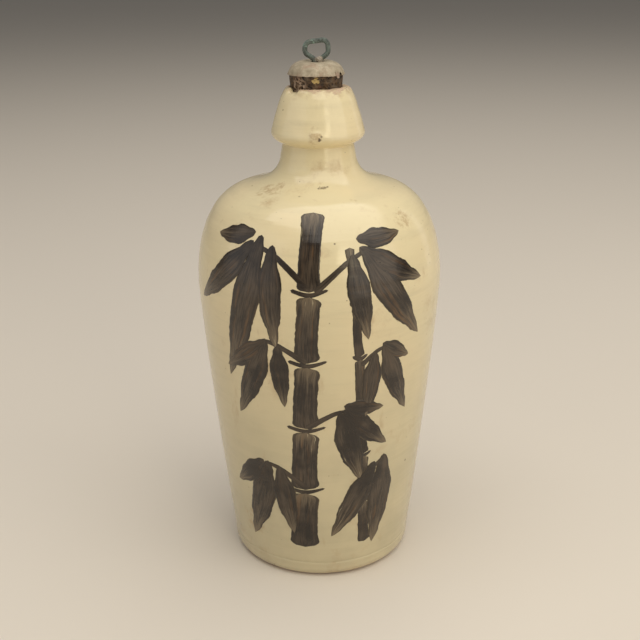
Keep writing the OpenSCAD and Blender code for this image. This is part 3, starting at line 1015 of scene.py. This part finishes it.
def culm(start, end, lengths, half_width, gap=1.6, dryness=0.55):
    """Jointed lengths of bamboo from start up to end, each a stroke that presses at both ends."""
    for i in range(lengths):
        low = [start[k] + (end[k] - start[k]) * i / lengths for k in (0, 1)]
        high = [start[k] + (end[k] - start[k]) * (i + 1) / lengths for k in (0, 1)]
        low[1] += gap / 2
        high[1] -= gap / 2
        width = half_width * (1 - 0.07 * i)
        lower, upper = ([low[k] + (high[k] - low[k]) * share for k in (0, 1)] for share in (0.3, 0.75))
        places = [low, [lower[0] - 0.7, lower[1]], [upper[0] - 0.4, upper[1]], high]
        brush(places, [width * w for w in (1.0, 0.84, 0.82, 0.97)], 0.15, dryness)
        if i < lengths - 1:
            left = (high[0] - width * 1.15, high[1] + gap + 0.8)
            middle = (high[0], high[1] + gap / 2 - 0.4)
            right = (high[0] + width * 1.15, high[1] + gap + 1.2)
            brush([left, middle, right], [1.0, 1.3, 0.7], 0, 0.1)


# the thin culm behind, then the thick one
culm((28, 21), (15, 200), 6, 4.2, 1.6, 0.75)
culm((-10, 20), (-3, 216), 5, 9.4, 2.4, 0.8)
# twigs: three places (side, up), and the brush's half width at each
for places, widths in (
    (((-5, 180), (-20, 194), (-34, 200)), (1.9, 1.5, 0.9)),
    (((-2, 178), (12, 191), (24, 198)), (1.9, 1.4, 0.9)),
    (((-6, 139), (-20, 148), (-28, 150)), (1.9, 1.4, 0.9)),
    (((20, 136), (28, 143), (34, 145)), (1.5, 1.2, 0.8)),
    (((-7, 100), (6, 108), (13, 110)), (1.8, 1.4, 0.9)),
    (((-8, 62), (-22, 72), (-32, 75)), (1.8, 1.5, 0.9)),
    (((24, 66), (34, 74), (38, 76)), (1.5, 1.2, 0.8)),
):
    brush(places, widths)
# leaves, cluster by cluster: side, up, angle, length, half width, bend
for values in (
    (-30, 204, 201, 82, 8.8, -0.12),
    (-34, 201, 232, 52, 7.4, -0.14),
    (-23, 200, 173, 54, 7.0, 0.08),
    (-34, 205, 266, 26, 5.6, -0.10),
    (20, 199, 112, 40, 7.0, 0.16),
    (22, 198, 141, 60, 8.4, 0.12),
    (16, 196, 168, 46, 6.6, 0.05),
    (19, 203, 82, 26, 5.6, 0.12),
    (-26, 151, 208, 52, 7.2, -0.10),
    (-26, 150, 238, 32, 5.8, -0.12),
    (-20, 148, 173, 36, 5.6, 0.06),
    (32, 146, 152, 46, 7.0, 0.10),
    (31, 147, 116, 20, 5.0, 0.12),
    (27, 143, 188, 38, 5.8, -0.05),
    (12, 111, 128, 36, 6.4, 0.12),
    (10, 109, 160, 46, 7.2, 0.06),
    (12, 113, 94, 22, 4.8, 0.10),
    (-30, 76, 204, 56, 8.4, -0.12),
    (-33, 76, 236, 30, 6.2, -0.14),
    (-23, 74, 168, 44, 6.8, 0.06),
    (37, 78, 187, 58, 8.4, -0.06),
    (31, 75, 214, 52, 7.4, -0.10),
):
    leaf(*values)

points, edges, half_widths, dryness, layers = [], [], [], [], []
for number, path in enumerate(strokes):
    edges += [(len(points) + k, len(points) + k + 1) for k in range(len(path) - 1)]
    points += [spot for spot, _, _ in path]
    half_widths += [w for _, w, _ in path]
    dryness += [d for _, _, d in path]
    layers += [float(number)] * len(path)
guide = guide_mesh("brush_paths", points, edges, half_width=half_widths, dry=dryness, layer=layers)
brushwork = run_tree(
    guide,
    brush_tree(),
    "brushwork",
    Pot=flask,
    Step=1.0 * mm,
    Ragged=0.9 * mm,
    Thickness=0.05 * mm,
    Layer_gap=0.004 * mm,
    Sunk=0.12 * mm,
    End_rounding=0.5,
    Ring_points=20,
    Ink=ink,
)
face_outwards(brushwork, 80)
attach(brushwork, "flask")
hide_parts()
print(f"brushwork: {len(strokes)} strokes, {triangles(brushwork)} triangles")

# %% [markdown]
# ## Old cork
# The cork is dark with age and drink: pores, cracks, reddish and grey patches, and crumbs gone from its
# edge. The colour follows the same kind of noise that pits the shape, and one small chip near the front
# shows the pale cork inside.

# %% The cork's finish
CHIP_PLACE = (-1.0 * mm, -14.0 * mm, rim_z + 4.0 * mm)
LUMPS_PLACE = (-9.8 * mm, -10.4 * mm, rim_z + 1.2 * mm)
CORK_DARK = (0.026, 0.014, 0.007, 1)
CORK_BROWN = (0.135, 0.078, 0.037, 1)
CORK_GREY = (0.17, 0.135, 0.095, 1)
CORK_RED = (0.12, 0.036, 0.015, 1)
CORK_PORE = (0.010, 0.006, 0.004, 1)
CORK_FRESH = (0.50, 0.36, 0.14, 1)
CORK_PALE = (0.42, 0.30, 0.21, 1)

old_cork, cork_tree, cork_shader = new_material("old_cork", (0.2, 0.14, 0.08))
place = add(cork_tree, "ShaderNodeTexCoord").outputs["Object"]
grain = cloud(cork_tree, place, 2.2 * mm, 6, 0.7, 1.2)
patches = cloud(cork_tree, place, 6 * mm, 3, 0.6, 3.3)
reddish = cloud(cork_tree, place, 4 * mm, 3, 0.6, 7.0)
pores = spots(cork_tree, place, 1.4 * mm, 0.6 * mm, 0.5, 0.4)
from_chip = calc(cork_tree, "ADD", distance(cork_tree, place, CHIP_PLACE), 1.4 * mm)
chip_noise = cloud(cork_tree, place, 1.1 * mm, 2, 0.5, 2.1)
chip_edge = calc(cork_tree, "MULTIPLY_ADD", chip_noise, -4.2 * mm, from_chip)
near_lumps = ramp(cork_tree, distance(cork_tree, place, LUMPS_PLACE), 5.8 * mm, 2.8 * mm)
lumps = ramp(cork_tree, cloud(cork_tree, place, 1.7 * mm, 3, 0.6, 8.0), 0.42, 0.58)
cork_tint = lay_over(
    cork_tree,
    CORK_DARK,
    (ramp(cork_tree, grain, 0.35, 0.65), CORK_BROWN),
    (ramp(cork_tree, patches, 0.5, 0.72, 0.0, 0.6), CORK_GREY),
    (ramp(cork_tree, reddish, 0.55, 0.75, 0.0, 0.55), CORK_RED),
    (calc(cork_tree, "MULTIPLY", pores, 0.8), CORK_PORE),
    (ramp(cork_tree, chip_edge, 0.95 * mm, 0.75 * mm), CORK_FRESH),
    (calc(cork_tree, "MULTIPLY", near_lumps, lumps), CORK_PALE),
)
cork_rough = calc(cork_tree, "MULTIPLY_ADD", grain, 0.35, 0.55, clamp=True)
cork_relief = calc(cork_tree, "MULTIPLY_ADD", pores, -0.35 * mm, calc(cork_tree, "MULTIPLY", grain, 0.8 * mm))
dress(cork_tree, cork_shader, cork_tint, cork_rough, cork_relief, strength=0.9)

# %% [markdown]
# ## The cork
# The same lathe turns the cork, with deep pits where it stands out of the mouth. Then a slot is cut down
# through it for the eye's two legs, as the maker's knife would, and crumbs are pressed out near the rim.

# %% Turn the cork and cut its slot
wire_r = 1.3 * mm
leg_x = 1.45 * mm
leg_fit = 0.05 * mm
cork_low_r = cork_rim_r - cork_taper * (rim_z - cork_low_z)
cork_top_z = cork_high.z
cap_room = 0.45 * mm
cork_top_room = 1.4 * mm
cork_bevel = 0.6 * mm
crown = (
    (cap_r, skirt_z),
    (cap_r - 1 * mm, skirt_z + 0.62 * (cap_z - skirt_z)),
    (cap_r - 3.5 * mm, cap_z),
    (0, cap_z),
)


def cork_outline():
    """The cork's outline from its lower end up, with its share of pits at each point."""
    end = [Vector((cork_low_r - cork_bevel, cork_low_z))]
    base = [Vector(((cork_low_r - cork_bevel) * i / 10, cork_low_z)) for i in range(10)]
    side_low = Vector((cork_low_r, cork_low_z + cork_bevel))
    side_high = Vector((cork_rim_r + cork_taper * (skirt_z - rim_z), skirt_z))
    rows = 96
    flank = [side_low.lerp(side_high, i / rows) for i in range(rows + 1)]
    under_crown = bezier(crown, 20, sheet_t + 0.1 * mm + cap_room, 1)
    tucked = [q for q in under_crown if q.y < cork_top_z - cork_top_room]
    top_r = tucked[-1].x - 0.4 * mm
    top = [Vector((top_r * (1 - i / 10), cork_top_z - cork_top_room)) for i in range(11)]
    points = base + end + flank + tucked + top
    pits = []
    for q in points:
        shown = q.x > cork_low_r * 0.9 and rim_z - 1 * mm < q.y < skirt_z + 1 * mm
        pits.append(1.0 if shown else (0.3 if q.x > 1 * mm else 0.0))
    return points, pits


outline, pits = cork_outline()
guide = outline_guide("cork_outline", outline, soft=[1.0 if v else 0.0 for v in pits], pits=pits)
cork = run_tree(
    guide,
    lathe,
    "cork",
    Around=300,
    Ring_depth=0.0,
    Ring_pitch=9 * mm,
    Wobble=0.12 * mm,
    Wobble_size=0.006,
    Pit_depth=1.0 * mm,
    Pit_size=0.0024,
    Seed=5.0,
    Finish=old_cork,
)
# where crumbs have gone: how far round in degrees from the front, half the width, and how deep
CRUMBS_ANGLE = -46
CRUMBS_HALF = 24
CRUMBS_DEPTH = 1.5 * mm
for vertex in cork.data.vertices:
    at = vertex.co
    round_by = turned_from_front(at) - CRUMBS_ANGLE + 10 * noise.noise(at * 300)
    near = bump_window(round_by, CRUMBS_HALF) * bump_window(at.z - rim_z - 1 * mm, 4.5 * mm)
    if near > 0 and at.z < skirt_z:
        crumbled = near * (0.3 + 1.8 * noise.noise(at * 600)) * CRUMBS_DEPTH
        vertex.co -= outward_from_axis(at) * max(crumbled, 0)
    vertex.co.x -= OFF_CENTRE


def prism(name, outline_points, low, high):
    """A closed prism over a flat outline, used as a cutter."""
    shape = bmesh.new()
    lower = [shape.verts.new((x, y, low)) for x, y in outline_points]
    upper = [shape.verts.new((x, y, high)) for x, y in outline_points]
    shape.faces.new(lower[::-1])
    shape.faces.new(upper)
    count = len(outline_points)
    for i in range(count):
        j = (i + 1) % count
        shape.faces.new((lower[i], lower[j], upper[j], upper[i]))
    return keep_shape(name, shape)


def slot_outline(half_length, half_width, ragged=0.0, steps=14):
    """A slot with round ends; ragged moves its edge by noise."""
    made = []
    for side_x, start in ((1, -90), (-1, 90)):
        for i in range(steps + 1):
            a = math.radians(start + 180 * i / steps)
            x = side_x * (half_length - half_width) + half_width * math.cos(a)
            y = half_width * math.sin(a)
            shift = 1 + ragged * noise.noise(Vector((x * 900, y * 900, 3.3)))
            made.append((x * shift, y * shift))
    return made


def cut(made, cutter):
    """Cuts the cutter out of the piece for good."""
    modifier = made.modifiers.new("cut", "BOOLEAN")
    modifier.operation = "DIFFERENCE"
    modifier.solver = "EXACT"
    modifier.object = cutter
    bpy.context.view_layer.update()
    mesh = bpy.data.meshes.new_from_object(made.evaluated_get(bpy.context.evaluated_depsgraph_get()))
    made.modifiers.clear()
    made.data = mesh
    bpy.data.objects.remove(cutter)


leg_slot = slot_outline(leg_x + wire_r + leg_fit, wire_r + leg_fit)
face_outwards(cork)
cut(cork, prism("leg_slot", leg_slot, cork_low_z - 1 * mm, cork_top_z + 1 * mm))
face_outwards(cork, 60)
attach(cork, "stopper")
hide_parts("cork")
print(f"cork: {triangles(cork)} triangles")

# %% [markdown]
# ## Oxidised sheet
# The cap's thin sheet has lost its shine: a pale, chalky skin with pinkish brown stains, a little bare
# metal where it is rubbed, and fine vertical scuffs from being pulled off and pressed on.

# %% The sheet's finish
TEAR_ANGLE = math.radians(58)
TONGUE_ANGLE = math.radians(49)
TONGUE_PLACE = (cap_r * math.sin(TONGUE_ANGLE) - OFF_CENTRE, -cap_r * math.cos(TONGUE_ANGLE), skirt_z)
TIN_DULL = (0.33, 0.275, 0.19, 1)
TIN_CHALKY = (0.50, 0.43, 0.315, 1)
TIN_PINK = (0.33, 0.20, 0.135, 1)
TIN_SCUFF = (0.22, 0.175, 0.12, 1)
TIN_DOT = (0.10, 0.07, 0.045, 1)
TIN_DIRT = (0.26, 0.18, 0.12, 1)
TIN_TORN = (0.27, 0.165, 0.115, 1)

tinned, tin_tree, tin_shader = new_material("tinned_sheet", (0.5, 0.42, 0.3))
place = add(tin_tree, "ShaderNodeTexCoord").outputs["Object"]
tin_height = add(tin_tree, "ShaderNodeSeparateXYZ", {"Vector": place}).outputs["Z"]
skin = cloud(tin_tree, place, 4 * mm, 5, 0.65, 2.0)
pinkish = cloud(tin_tree, place, 5 * mm, 3, 0.6, 6.1)
scuffs = cloud(tin_tree, vector_calc(tin_tree, "MULTIPLY", place, (6, 6, 1)), 4 * mm, 4, 0.6, 4.0)
dots = spots(tin_tree, place, 2.2 * mm, 0.3 * mm, 0.3, 0.9)
dirt_line = calc(tin_tree, "MULTIPLY_ADD", skin, 2 * mm, tin_height)
from_tongue = calc(tin_tree, "MULTIPLY_ADD", skin, 1.5 * mm, distance(tin_tree, place, TONGUE_PLACE))
tin_tint = lay_over(
    tin_tree,
    TIN_DULL,
    (ramp(tin_tree, skin, 0.3, 0.7), TIN_CHALKY),
    (ramp(tin_tree, pinkish, 0.52, 0.72, 0.0, 0.55), TIN_PINK),
    (ramp(tin_tree, scuffs, 0.5, 0.75, 0.0, 0.35), TIN_SCUFF),
    (calc(tin_tree, "MULTIPLY", dots, 0.6), TIN_DOT),
    (ramp(tin_tree, dirt_line, skirt_z + 2.2 * mm, skirt_z + 0.8 * mm, 0.0, 0.5), TIN_DIRT),
    (ramp(tin_tree, from_tongue, 3.2 * mm, 1.8 * mm, 0.0, 0.65), TIN_TORN),
)
tin_rough = ramp(tin_tree, scuffs, 0.3, 0.7, 0.48, 0.66)
tin_metal = ramp(tin_tree, skin, 0.5, 0.8, 0.15, 0.5)
tin_relief = calc(tin_tree, "MULTIPLY_ADD", scuffs, 0.12 * mm, calc(tin_tree, "MULTIPLY", skin, 0.18 * mm))
tin_relief = calc(tin_tree, "MULTIPLY_ADD", dots, -0.1 * mm, tin_relief)
dress(tin_tree, tin_shader, tin_tint, tin_rough, tin_relief, tin_metal)

# %% [markdown]
# ## The cap
# The cap is half a millimetre of sheet, dented all over, with a skirt that flares and wanders. It is
# built as a shell, outside and inside, so its edge has a real thickness; a ragged hole is cut for the eye
# and a torn notch for the tear at its right front, with the torn tongue of metal bent out beside it.

# %% Shape the cap
CAP_COLUMNS = 240
CAP_ROWS = 40
DENT = 0.22 * mm
CROWN_DENT = 1.4 * mm


def eased(value, low, high):
    """0 at low to 1 at high, held beyond them."""
    share = min(max((value - low) / (high - low), 0), 1)
    return share * share * (3 - 2 * share)


def crown_dent(x, y):
    """How deep the crown is pressed in, round the eye and in front of it."""
    behind, in_front = eased(y, 4.5 * mm, 0.5 * mm), eased(y, -10 * mm, -3 * mm)
    return CROWN_DENT * behind * in_front * math.exp(-((x / (5.5 * mm)) ** 2))


def cap_point(flat, turn_at, share):
    """Where a point of the shell goes once dents, flare and a ragged edge are in."""
    at = Vector((flat.x * math.sin(turn_at), -flat.x * math.cos(turn_at), flat.y))
    out = Vector((math.sin(turn_at), -math.cos(turn_at), 0))
    low = max(0.0, 1 - share / 0.16)
    ragged = 0.30 * mm * noise.noise(at * 420 + Vector((0, 0, 7))) + 0.22 * mm * noise.noise(at * 1500)
    dent = DENT * noise.noise(at * 170) + 0.06 * mm * noise.noise(at * 600)
    flare = low * low * (0.35 * mm + 0.4 * mm * noise.noise(at * 200))
    at += out * (flare + dent * min(1, flat.x / (4 * mm)))
    at.z += low * ragged + 0.12 * mm * noise.noise(at * 140) * (1 - low) * min(1, share * 4)
    at.z -= crown_dent(at.x, at.y) * eased(share, 0.5, 0.75)
    at.x -= OFF_CENTRE
    return at


outer = bezier(crown, CAP_ROWS)
inner = bezier(crown, CAP_ROWS, sheet_t)
shell = bmesh.new()
rings = []
for row in list(range(CAP_ROWS)) + list(range(CAP_ROWS - 1, -1, -1)):
    walls = outer if len(rings) < CAP_ROWS else inner
    ring = []
    for k in range(CAP_COLUMNS):
        turn_at = 2 * math.pi * k / CAP_COLUMNS
        at = cap_point(outer[row], turn_at, row / CAP_ROWS)
        if walls is inner:
            inward = inner[row] - outer[row]
            at += Vector((inward.x * math.sin(turn_at), -inward.x * math.cos(turn_at), inward.y))
        ring.append(shell.verts.new(at))
    rings.append(ring)
for low_ring, high_ring in zip(rings, rings[1:]):
    if low_ring is rings[CAP_ROWS - 1]:
        continue
    for k in range(CAP_COLUMNS):
        j = (k + 1) % CAP_COLUMNS
        shell.faces.new((low_ring[k], low_ring[j], high_ring[j], high_ring[k]))
for ring, z in ((rings[CAP_ROWS - 1], cap_z), (rings[CAP_ROWS], cap_z - sheet_t)):
    pole = shell.verts.new((-OFF_CENTRE, 0, z - CROWN_DENT))
    for k in range(CAP_COLUMNS):
        shell.faces.new((ring[k], ring[(k + 1) % CAP_COLUMNS], pole))
for k in range(CAP_COLUMNS):
    j = (k + 1) % CAP_COLUMNS
    shell.faces.new((rings[-1][k], rings[-1][j], rings[0][j], rings[0][k]))
cap = keep_shape("cap", shell, tinned)
face_outwards(cap)
eye_slot = slot_outline(3.6 * mm, 1.62 * mm, 0.10, 22)
cut(cap, prism("eye_slot", eye_slot, cap_z - 3 * mm, cap_z + 2 * mm))


def radial_prism(name, corners, angle, near, far):
    """A closed prism along a radius: corners are (sideways, height), between two distances."""
    out = Vector((math.sin(angle), -math.cos(angle), 0))
    aside = Vector((math.cos(angle), math.sin(angle), 0))
    shape = bmesh.new()
    up = Vector((0, 0, 1))
    ends = [[shape.verts.new(out * d + aside * x + up * z) for x, z in corners] for d in (near, far)]
    shape.faces.new(ends[0])
    shape.faces.new(ends[1][::-1])
    count = len(corners)
    for i in range(count):
        j = (i + 1) % count
        shape.faces.new((ends[0][i], ends[1][i], ends[1][j], ends[0][j]))
    bmesh.ops.recalc_face_normals(shape, faces=shape.faces)
    return keep_shape(name, shape)


# the tear's outline: sideways and up from the skirt's edge, in millimetres
TEAR = (
    (-1.5, -1.2),
    (1.3, -1.2),
    (0.95, 0.2),
    (1.15, 0.75),
    (0.55, 1.3),
    (0.1, 2.0),
    (-0.35, 1.45),
    (-1.0, 1.0),
    (-1.1, 0.1),
)
tear = [(x * mm, skirt_z + z * mm) for x, z in TEAR]
cut(cap, radial_prism("tear", tear, TEAR_ANGLE, cap_r - 3 * mm, cap_r + 3 * mm))


def join_shell(made, extra):
    """Adds an edited shape's faces to the piece."""
    mesh = bpy.data.meshes.new("extra")
    extra.to_mesh(mesh)
    extra.free()
    both = bmesh.new()
    both.from_mesh(made.data)
    both.from_mesh(mesh)
    both.to_mesh(made.data)
    both.free()
    bpy.data.meshes.remove(mesh)


def torn_tongue():
    """The strip that was torn out of the notch: it curls out and down from the skirt."""
    shape = bmesh.new()
    rows, columns = 12, 8
    grids = []
    for face in (0, 1):
        grid = []
        for i in range(rows + 1):
            t = i / rows
            out_by = 0.25 * mm + (1.5 * t * t) * mm - face * 0.42 * mm
            z = skirt_z + (2.2 - 3.3 * t) * mm + 0.25 * mm * math.sin(3 * t)
            line = []
            for k in range(columns + 1):
                w = (k / columns - 0.5) * (3.0 - 1.5 * t) * mm
                angle = TONGUE_ANGLE + (w - 0.5 * t * mm) / cap_r
                reach = cap_r - 0.55 * mm + out_by + 0.15 * mm * noise.noise(Vector((w * 900, t * 3, face)))
                up = z + 0.2 * mm * noise.noise(Vector((w * 1500, t, 4.0)))
                spot = (reach * math.sin(angle) - OFF_CENTRE, -reach * math.cos(angle), up)
                line.append(shape.verts.new(spot))
            grid.append(line)
        grids.append(grid)
    front, back = grids
    for i in range(rows):
        for k in range(columns):
            shape.faces.new((front[i][k], front[i + 1][k], front[i + 1][k + 1], front[i][k + 1]))
            shape.faces.new((back[i][k], back[i][k + 1], back[i + 1][k + 1], back[i + 1][k]))
        for k in (0, columns):
            shape.faces.new((front[i][k], back[i][k], back[i + 1][k], front[i + 1][k]))
    for k in range(columns):
        for i in (0, rows):
            shape.faces.new((front[i][k], front[i][k + 1], back[i][k + 1], back[i][k]))
    bmesh.ops.recalc_face_normals(shape, faces=shape.faces)
    return shape


join_shell(cap, torn_tongue())
face_outwards(cap, 50)
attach(cap, "stopper")
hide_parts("cap")
print(f"cap: {triangles(cap)} triangles")

# %% [markdown]
# ## Verdigris
# The wire is copper alloy under a grey-green crust, powdery pale green where the crust is thick and dark
# where it has been handled.

# %% The wire's finish
CRUST_PLACE = (0.9 * mm, -1.0 * mm, cap_z + 0.1 * mm)
WIRE_DARK = (0.045, 0.055, 0.049, 1)
WIRE_GREY = (0.125, 0.155, 0.135, 1)
WIRE_MINT = (0.32, 0.47, 0.40, 1)
WIRE_BRONZE = (0.14, 0.115, 0.095, 1)
WIRE_CHALK = (0.42, 0.36, 0.29, 1)

verdigris, green_tree, green_shader = new_material("verdigris_wire", (0.3, 0.38, 0.32))
place = add(green_tree, "ShaderNodeTexCoord").outputs["Object"]
crust = cloud(green_tree, place, 2.2 * mm, 5, 0.65, 1.1)
mint = cloud(green_tree, place, 3.2 * mm, 4, 0.7, 5.2)
bronze = ramp(green_tree, cloud(green_tree, place, 4 * mm, 3, 0.6, 8.4), 0.56, 0.72, 0.0, 0.7)
chalk_edge = calc(green_tree, "MULTIPLY_ADD", crust, 1.8 * mm, distance(green_tree, place, CRUST_PLACE))
green_tint = lay_over(
    green_tree,
    WIRE_DARK,
    (ramp(green_tree, crust, 0.36, 0.62), WIRE_GREY),
    (ramp(green_tree, mint, 0.57, 0.70, 0.0, 0.75), WIRE_MINT),
    (bronze, WIRE_BRONZE),
    (ramp(green_tree, chalk_edge, 3.3 * mm, 2.4 * mm, 0.0, 0.9), WIRE_CHALK),
)
green_rough = ramp(green_tree, crust, 0.3, 0.7, 0.5, 0.8)
green_metal = ramp(green_tree, bronze, 0.2, 0.7, 0.0, 0.35)
green_relief = calc(green_tree, "MULTIPLY", crust, 0.5 * mm)
dress(green_tree, green_shader, green_tint, green_rough, green_relief, green_metal)

# %% [markdown]
# ## The eye
# One length of wire makes the eye and both legs. A small tree sweeps a circle along the bent path and
# lets its thickness wander a little, since the crust is uneven and the wire was bent by hand.


# %% A tree for wire
def wire_tree():
    """Sweeps an uneven round wire along a guide path."""
    sizes = ("Wire radius", "Step", "Unevenness", "Lump size", "Seed")
    tree = open_tree("wire", sizes, "Sides", "Finish")
    given = tree.nodes.new("NodeGroupInput").outputs
    path = add(tree, "GeometryNodeMeshToCurve", {"Mesh": given["Geometry"]}).outputs["Curve"]
    path = add(tree, "GeometryNodeResampleCurve", {"Curve": path, "Length": given["Step"]}, mode="LENGTH")
    ring = add(tree, "GeometryNodeCurvePrimitiveCircle", {"Radius": given["Wire radius"]})
    feed(tree, ring.inputs["Resolution"], given["Sides"])
    swept = add(tree, "GeometryNodeCurveToMesh", {"Curve": path.outputs["Curve"], "Fill Caps": True})
    feed(tree, swept.inputs["Profile Curve"], ring.outputs["Curve"])
    position = add(tree, "GeometryNodeInputPosition").outputs["Position"]
    normal = add(tree, "GeometryNodeInputNormal").outputs["Normal"]
    seed = add(tree, "ShaderNodeCombineXYZ", {"X": given["Seed"]}).outputs["Vector"]
    seeded = vector_calc(tree, "ADD", position, seed)
    lumps = add(tree, "ShaderNodeTexNoise", {"Vector": seeded, "Detail": 4.0, "Roughness": 0.6})
    feed(tree, lumps.inputs["Scale"], calc(tree, "DIVIDE", 1.0, given["Lump size"]))
    centred = calc(tree, "SUBTRACT", lumps.outputs["Fac"], 0.5)
    lift = calc(tree, "MULTIPLY", centred, given["Unevenness"])
    lumpy = add(tree, "GeometryNodeSetPosition", {"Geometry": swept.outputs["Mesh"]})
    feed(tree, lumpy.inputs["Offset"], scaled(tree, normal, lift))
    close_tree(tree, lumpy.outputs["Geometry"], given["Finish"])
    return tree


def bent_path(corners, radii, steps=10):
    """The corners' path in the XZ plane with each inner corner rounded to its radius."""
    made = [Vector(corners[0])]
    for before, here, after, radius in zip(corners, corners[1:], corners[2:], radii):
        before, here, after = Vector(before), Vector(here), Vector(after)
        into, away = (here - before).normalized(), (after - here).normalized()
        angle = into.angle_signed(away)
        reach = radius * math.tan(abs(angle) / 2)
        start, side_way = here - into * reach, Vector((-into.y, into.x)) * (-1 if angle > 0 else 1)
        middle = start + side_way * radius
        for i in range(steps + 1):
            turn_by = abs(angle) * i / steps
            made.append(middle - side_way * radius * math.cos(turn_by) + into * radius * math.sin(turn_by))
    made.append(Vector(corners[-1]))
    return made


# %% Bend the eye
clench_z = washer_low.z - wire_r - leg_fit
# where the wire's middle turns, from the left bent end round to the right one
eye_corners = [
    (-6.53 * mm, clench_z),
    (-leg_x, clench_z),
    (-leg_x, cap_z - 0.1 * mm),
    (-6.7 * mm, cap_z + 3.2 * mm),
    (-6.3 * mm, cap_z + 8.65 * mm),
    (5.4 * mm, cap_z + 10.15 * mm),
    (5.8 * mm, cap_z + 3.2 * mm),
    (leg_x, cap_z - 0.1 * mm),
    (leg_x, clench_z),
    (6.53 * mm, clench_z),
]
bend_radii = [r * mm for r in (2.08, 1.82, 3, 3, 3, 3, 1.82, 2.08)]
wire_path = bent_path(eye_corners, bend_radii)
guide = outline_guide("eye_path", wire_path)
eye = run_tree(
    guide,
    wire_tree(),
    "eye",
    Wire_radius=wire_r,
    Step=0.35 * mm,
    Unevenness=0.45 * mm,
    Lump_size=2.6 * mm,
    Seed=3.0,
    Sides=28,
    Finish=verdigris,
)


def crust_lump():
    """A lump of pale residue in the fork of the wire, round but pitted by noise."""
    shape = bmesh.new()
    bmesh.ops.create_icosphere(shape, subdivisions=5, radius=1)
    for vertex in shape.verts:
        at = vertex.co.copy()
        size = 1 + 0.28 * noise.noise(at * 1.6) + 0.12 * noise.noise(at * 5 + Vector((3, 0, 0)))
        vertex.co = Vector(CRUST_PLACE) + Vector((at.x * 1.5, at.y * 1.0, at.z * 1.35)) * size * mm
    return shape


join_shell(eye, crust_lump())
face_outwards(eye, 50)
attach(eye, "stopper")
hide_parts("eye")
eye_top = max(v.co.z for v in eye.data.vertices)
print(f"eye: {triangles(eye)} triangles, top at {eye_top * 1000:.1f} mm of {eye_high.z * 1000:.1f} mm")

# %% [markdown]
# ## The washer
# Under the cork a small brass washer takes the pull of the bent wire ends. It is only seen when the
# stopper is out. Its section is carried round between an outer circle and the slot in its middle.

# %% The washer and its finish
BRASS_BRIGHT = (0.42, 0.30, 0.13, 1)
BRASS_TARNISH = (0.10, 0.075, 0.045, 1)
BRASS_GREEN = (0.20, 0.32, 0.25, 1)

washer_sheet, brass_tree, brass_shader = new_material("washer_sheet", (0.45, 0.36, 0.2))
place = add(brass_tree, "ShaderNodeTexCoord").outputs["Object"]
tarnish = cloud(brass_tree, place, 3 * mm, 5, 0.65, 4.4)
green_rim = ramp(brass_tree, cloud(brass_tree, place, 2 * mm, 4, 0.7, 9.0), 0.58, 0.72, 0.0, 0.7)
brass_tint = lay_over(
    brass_tree,
    BRASS_BRIGHT,
    (ramp(brass_tree, tarnish, 0.35, 0.65), BRASS_TARNISH),
    (green_rim, BRASS_GREEN),
)
brass_rough = ramp(brass_tree, tarnish, 0.3, 0.7, 0.35, 0.6)
brass_metal = ramp(brass_tree, green_rim, 0.1, 0.5, 0.9, 0.1)
brass_relief = calc(brass_tree, "MULTIPLY", tarnish, 0.2 * mm)
dress(brass_tree, brass_shader, brass_tint, brass_rough, brass_relief, brass_metal)

# %% Shape the washer
washer_r = washer_high.x
rounded = 0.12 * mm
washer_top, washer_bottom = washer_high.z, washer_low.z
inner_loop = slot_outline(3.56 * mm, 1.6 * mm, 0.0, 35)
outer_loop = []
for x, y in inner_loop:
    a = math.atan2(y, x)
    outer_loop.append((washer_r * math.cos(a), washer_r * math.sin(a)))
# the section: share of the way from the outer circle to the slot, and height
across_top = [0.04] + [t / 6 for t in range(1, 6)] + [0.95]
section = [(t, washer_top) for t in across_top] + [(1, washer_top - rounded), (1, washer_bottom + rounded)]
section += [(t, washer_bottom) for t in across_top[::-1]]
section += [(0, washer_bottom + rounded), (0, washer_top - rounded)]
disc = bmesh.new()
grid = []
for (ox, oy), (ix, iy) in zip(outer_loop, inner_loop):
    grid.append([disc.verts.new((ox + (ix - ox) * t, oy + (iy - oy) * t, z)) for t, z in section])
for i, column in enumerate(grid):
    ahead = grid[(i + 1) % len(grid)]
    for j in range(len(section)):
        k = (j + 1) % len(section)
        disc.faces.new((column[j], ahead[j], ahead[k], column[k]))
washer = keep_shape("washer", disc, washer_sheet)
face_outwards(washer, 50)
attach(washer, "stopper")
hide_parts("washer")
print(f"washer: {triangles(washer)} triangles")
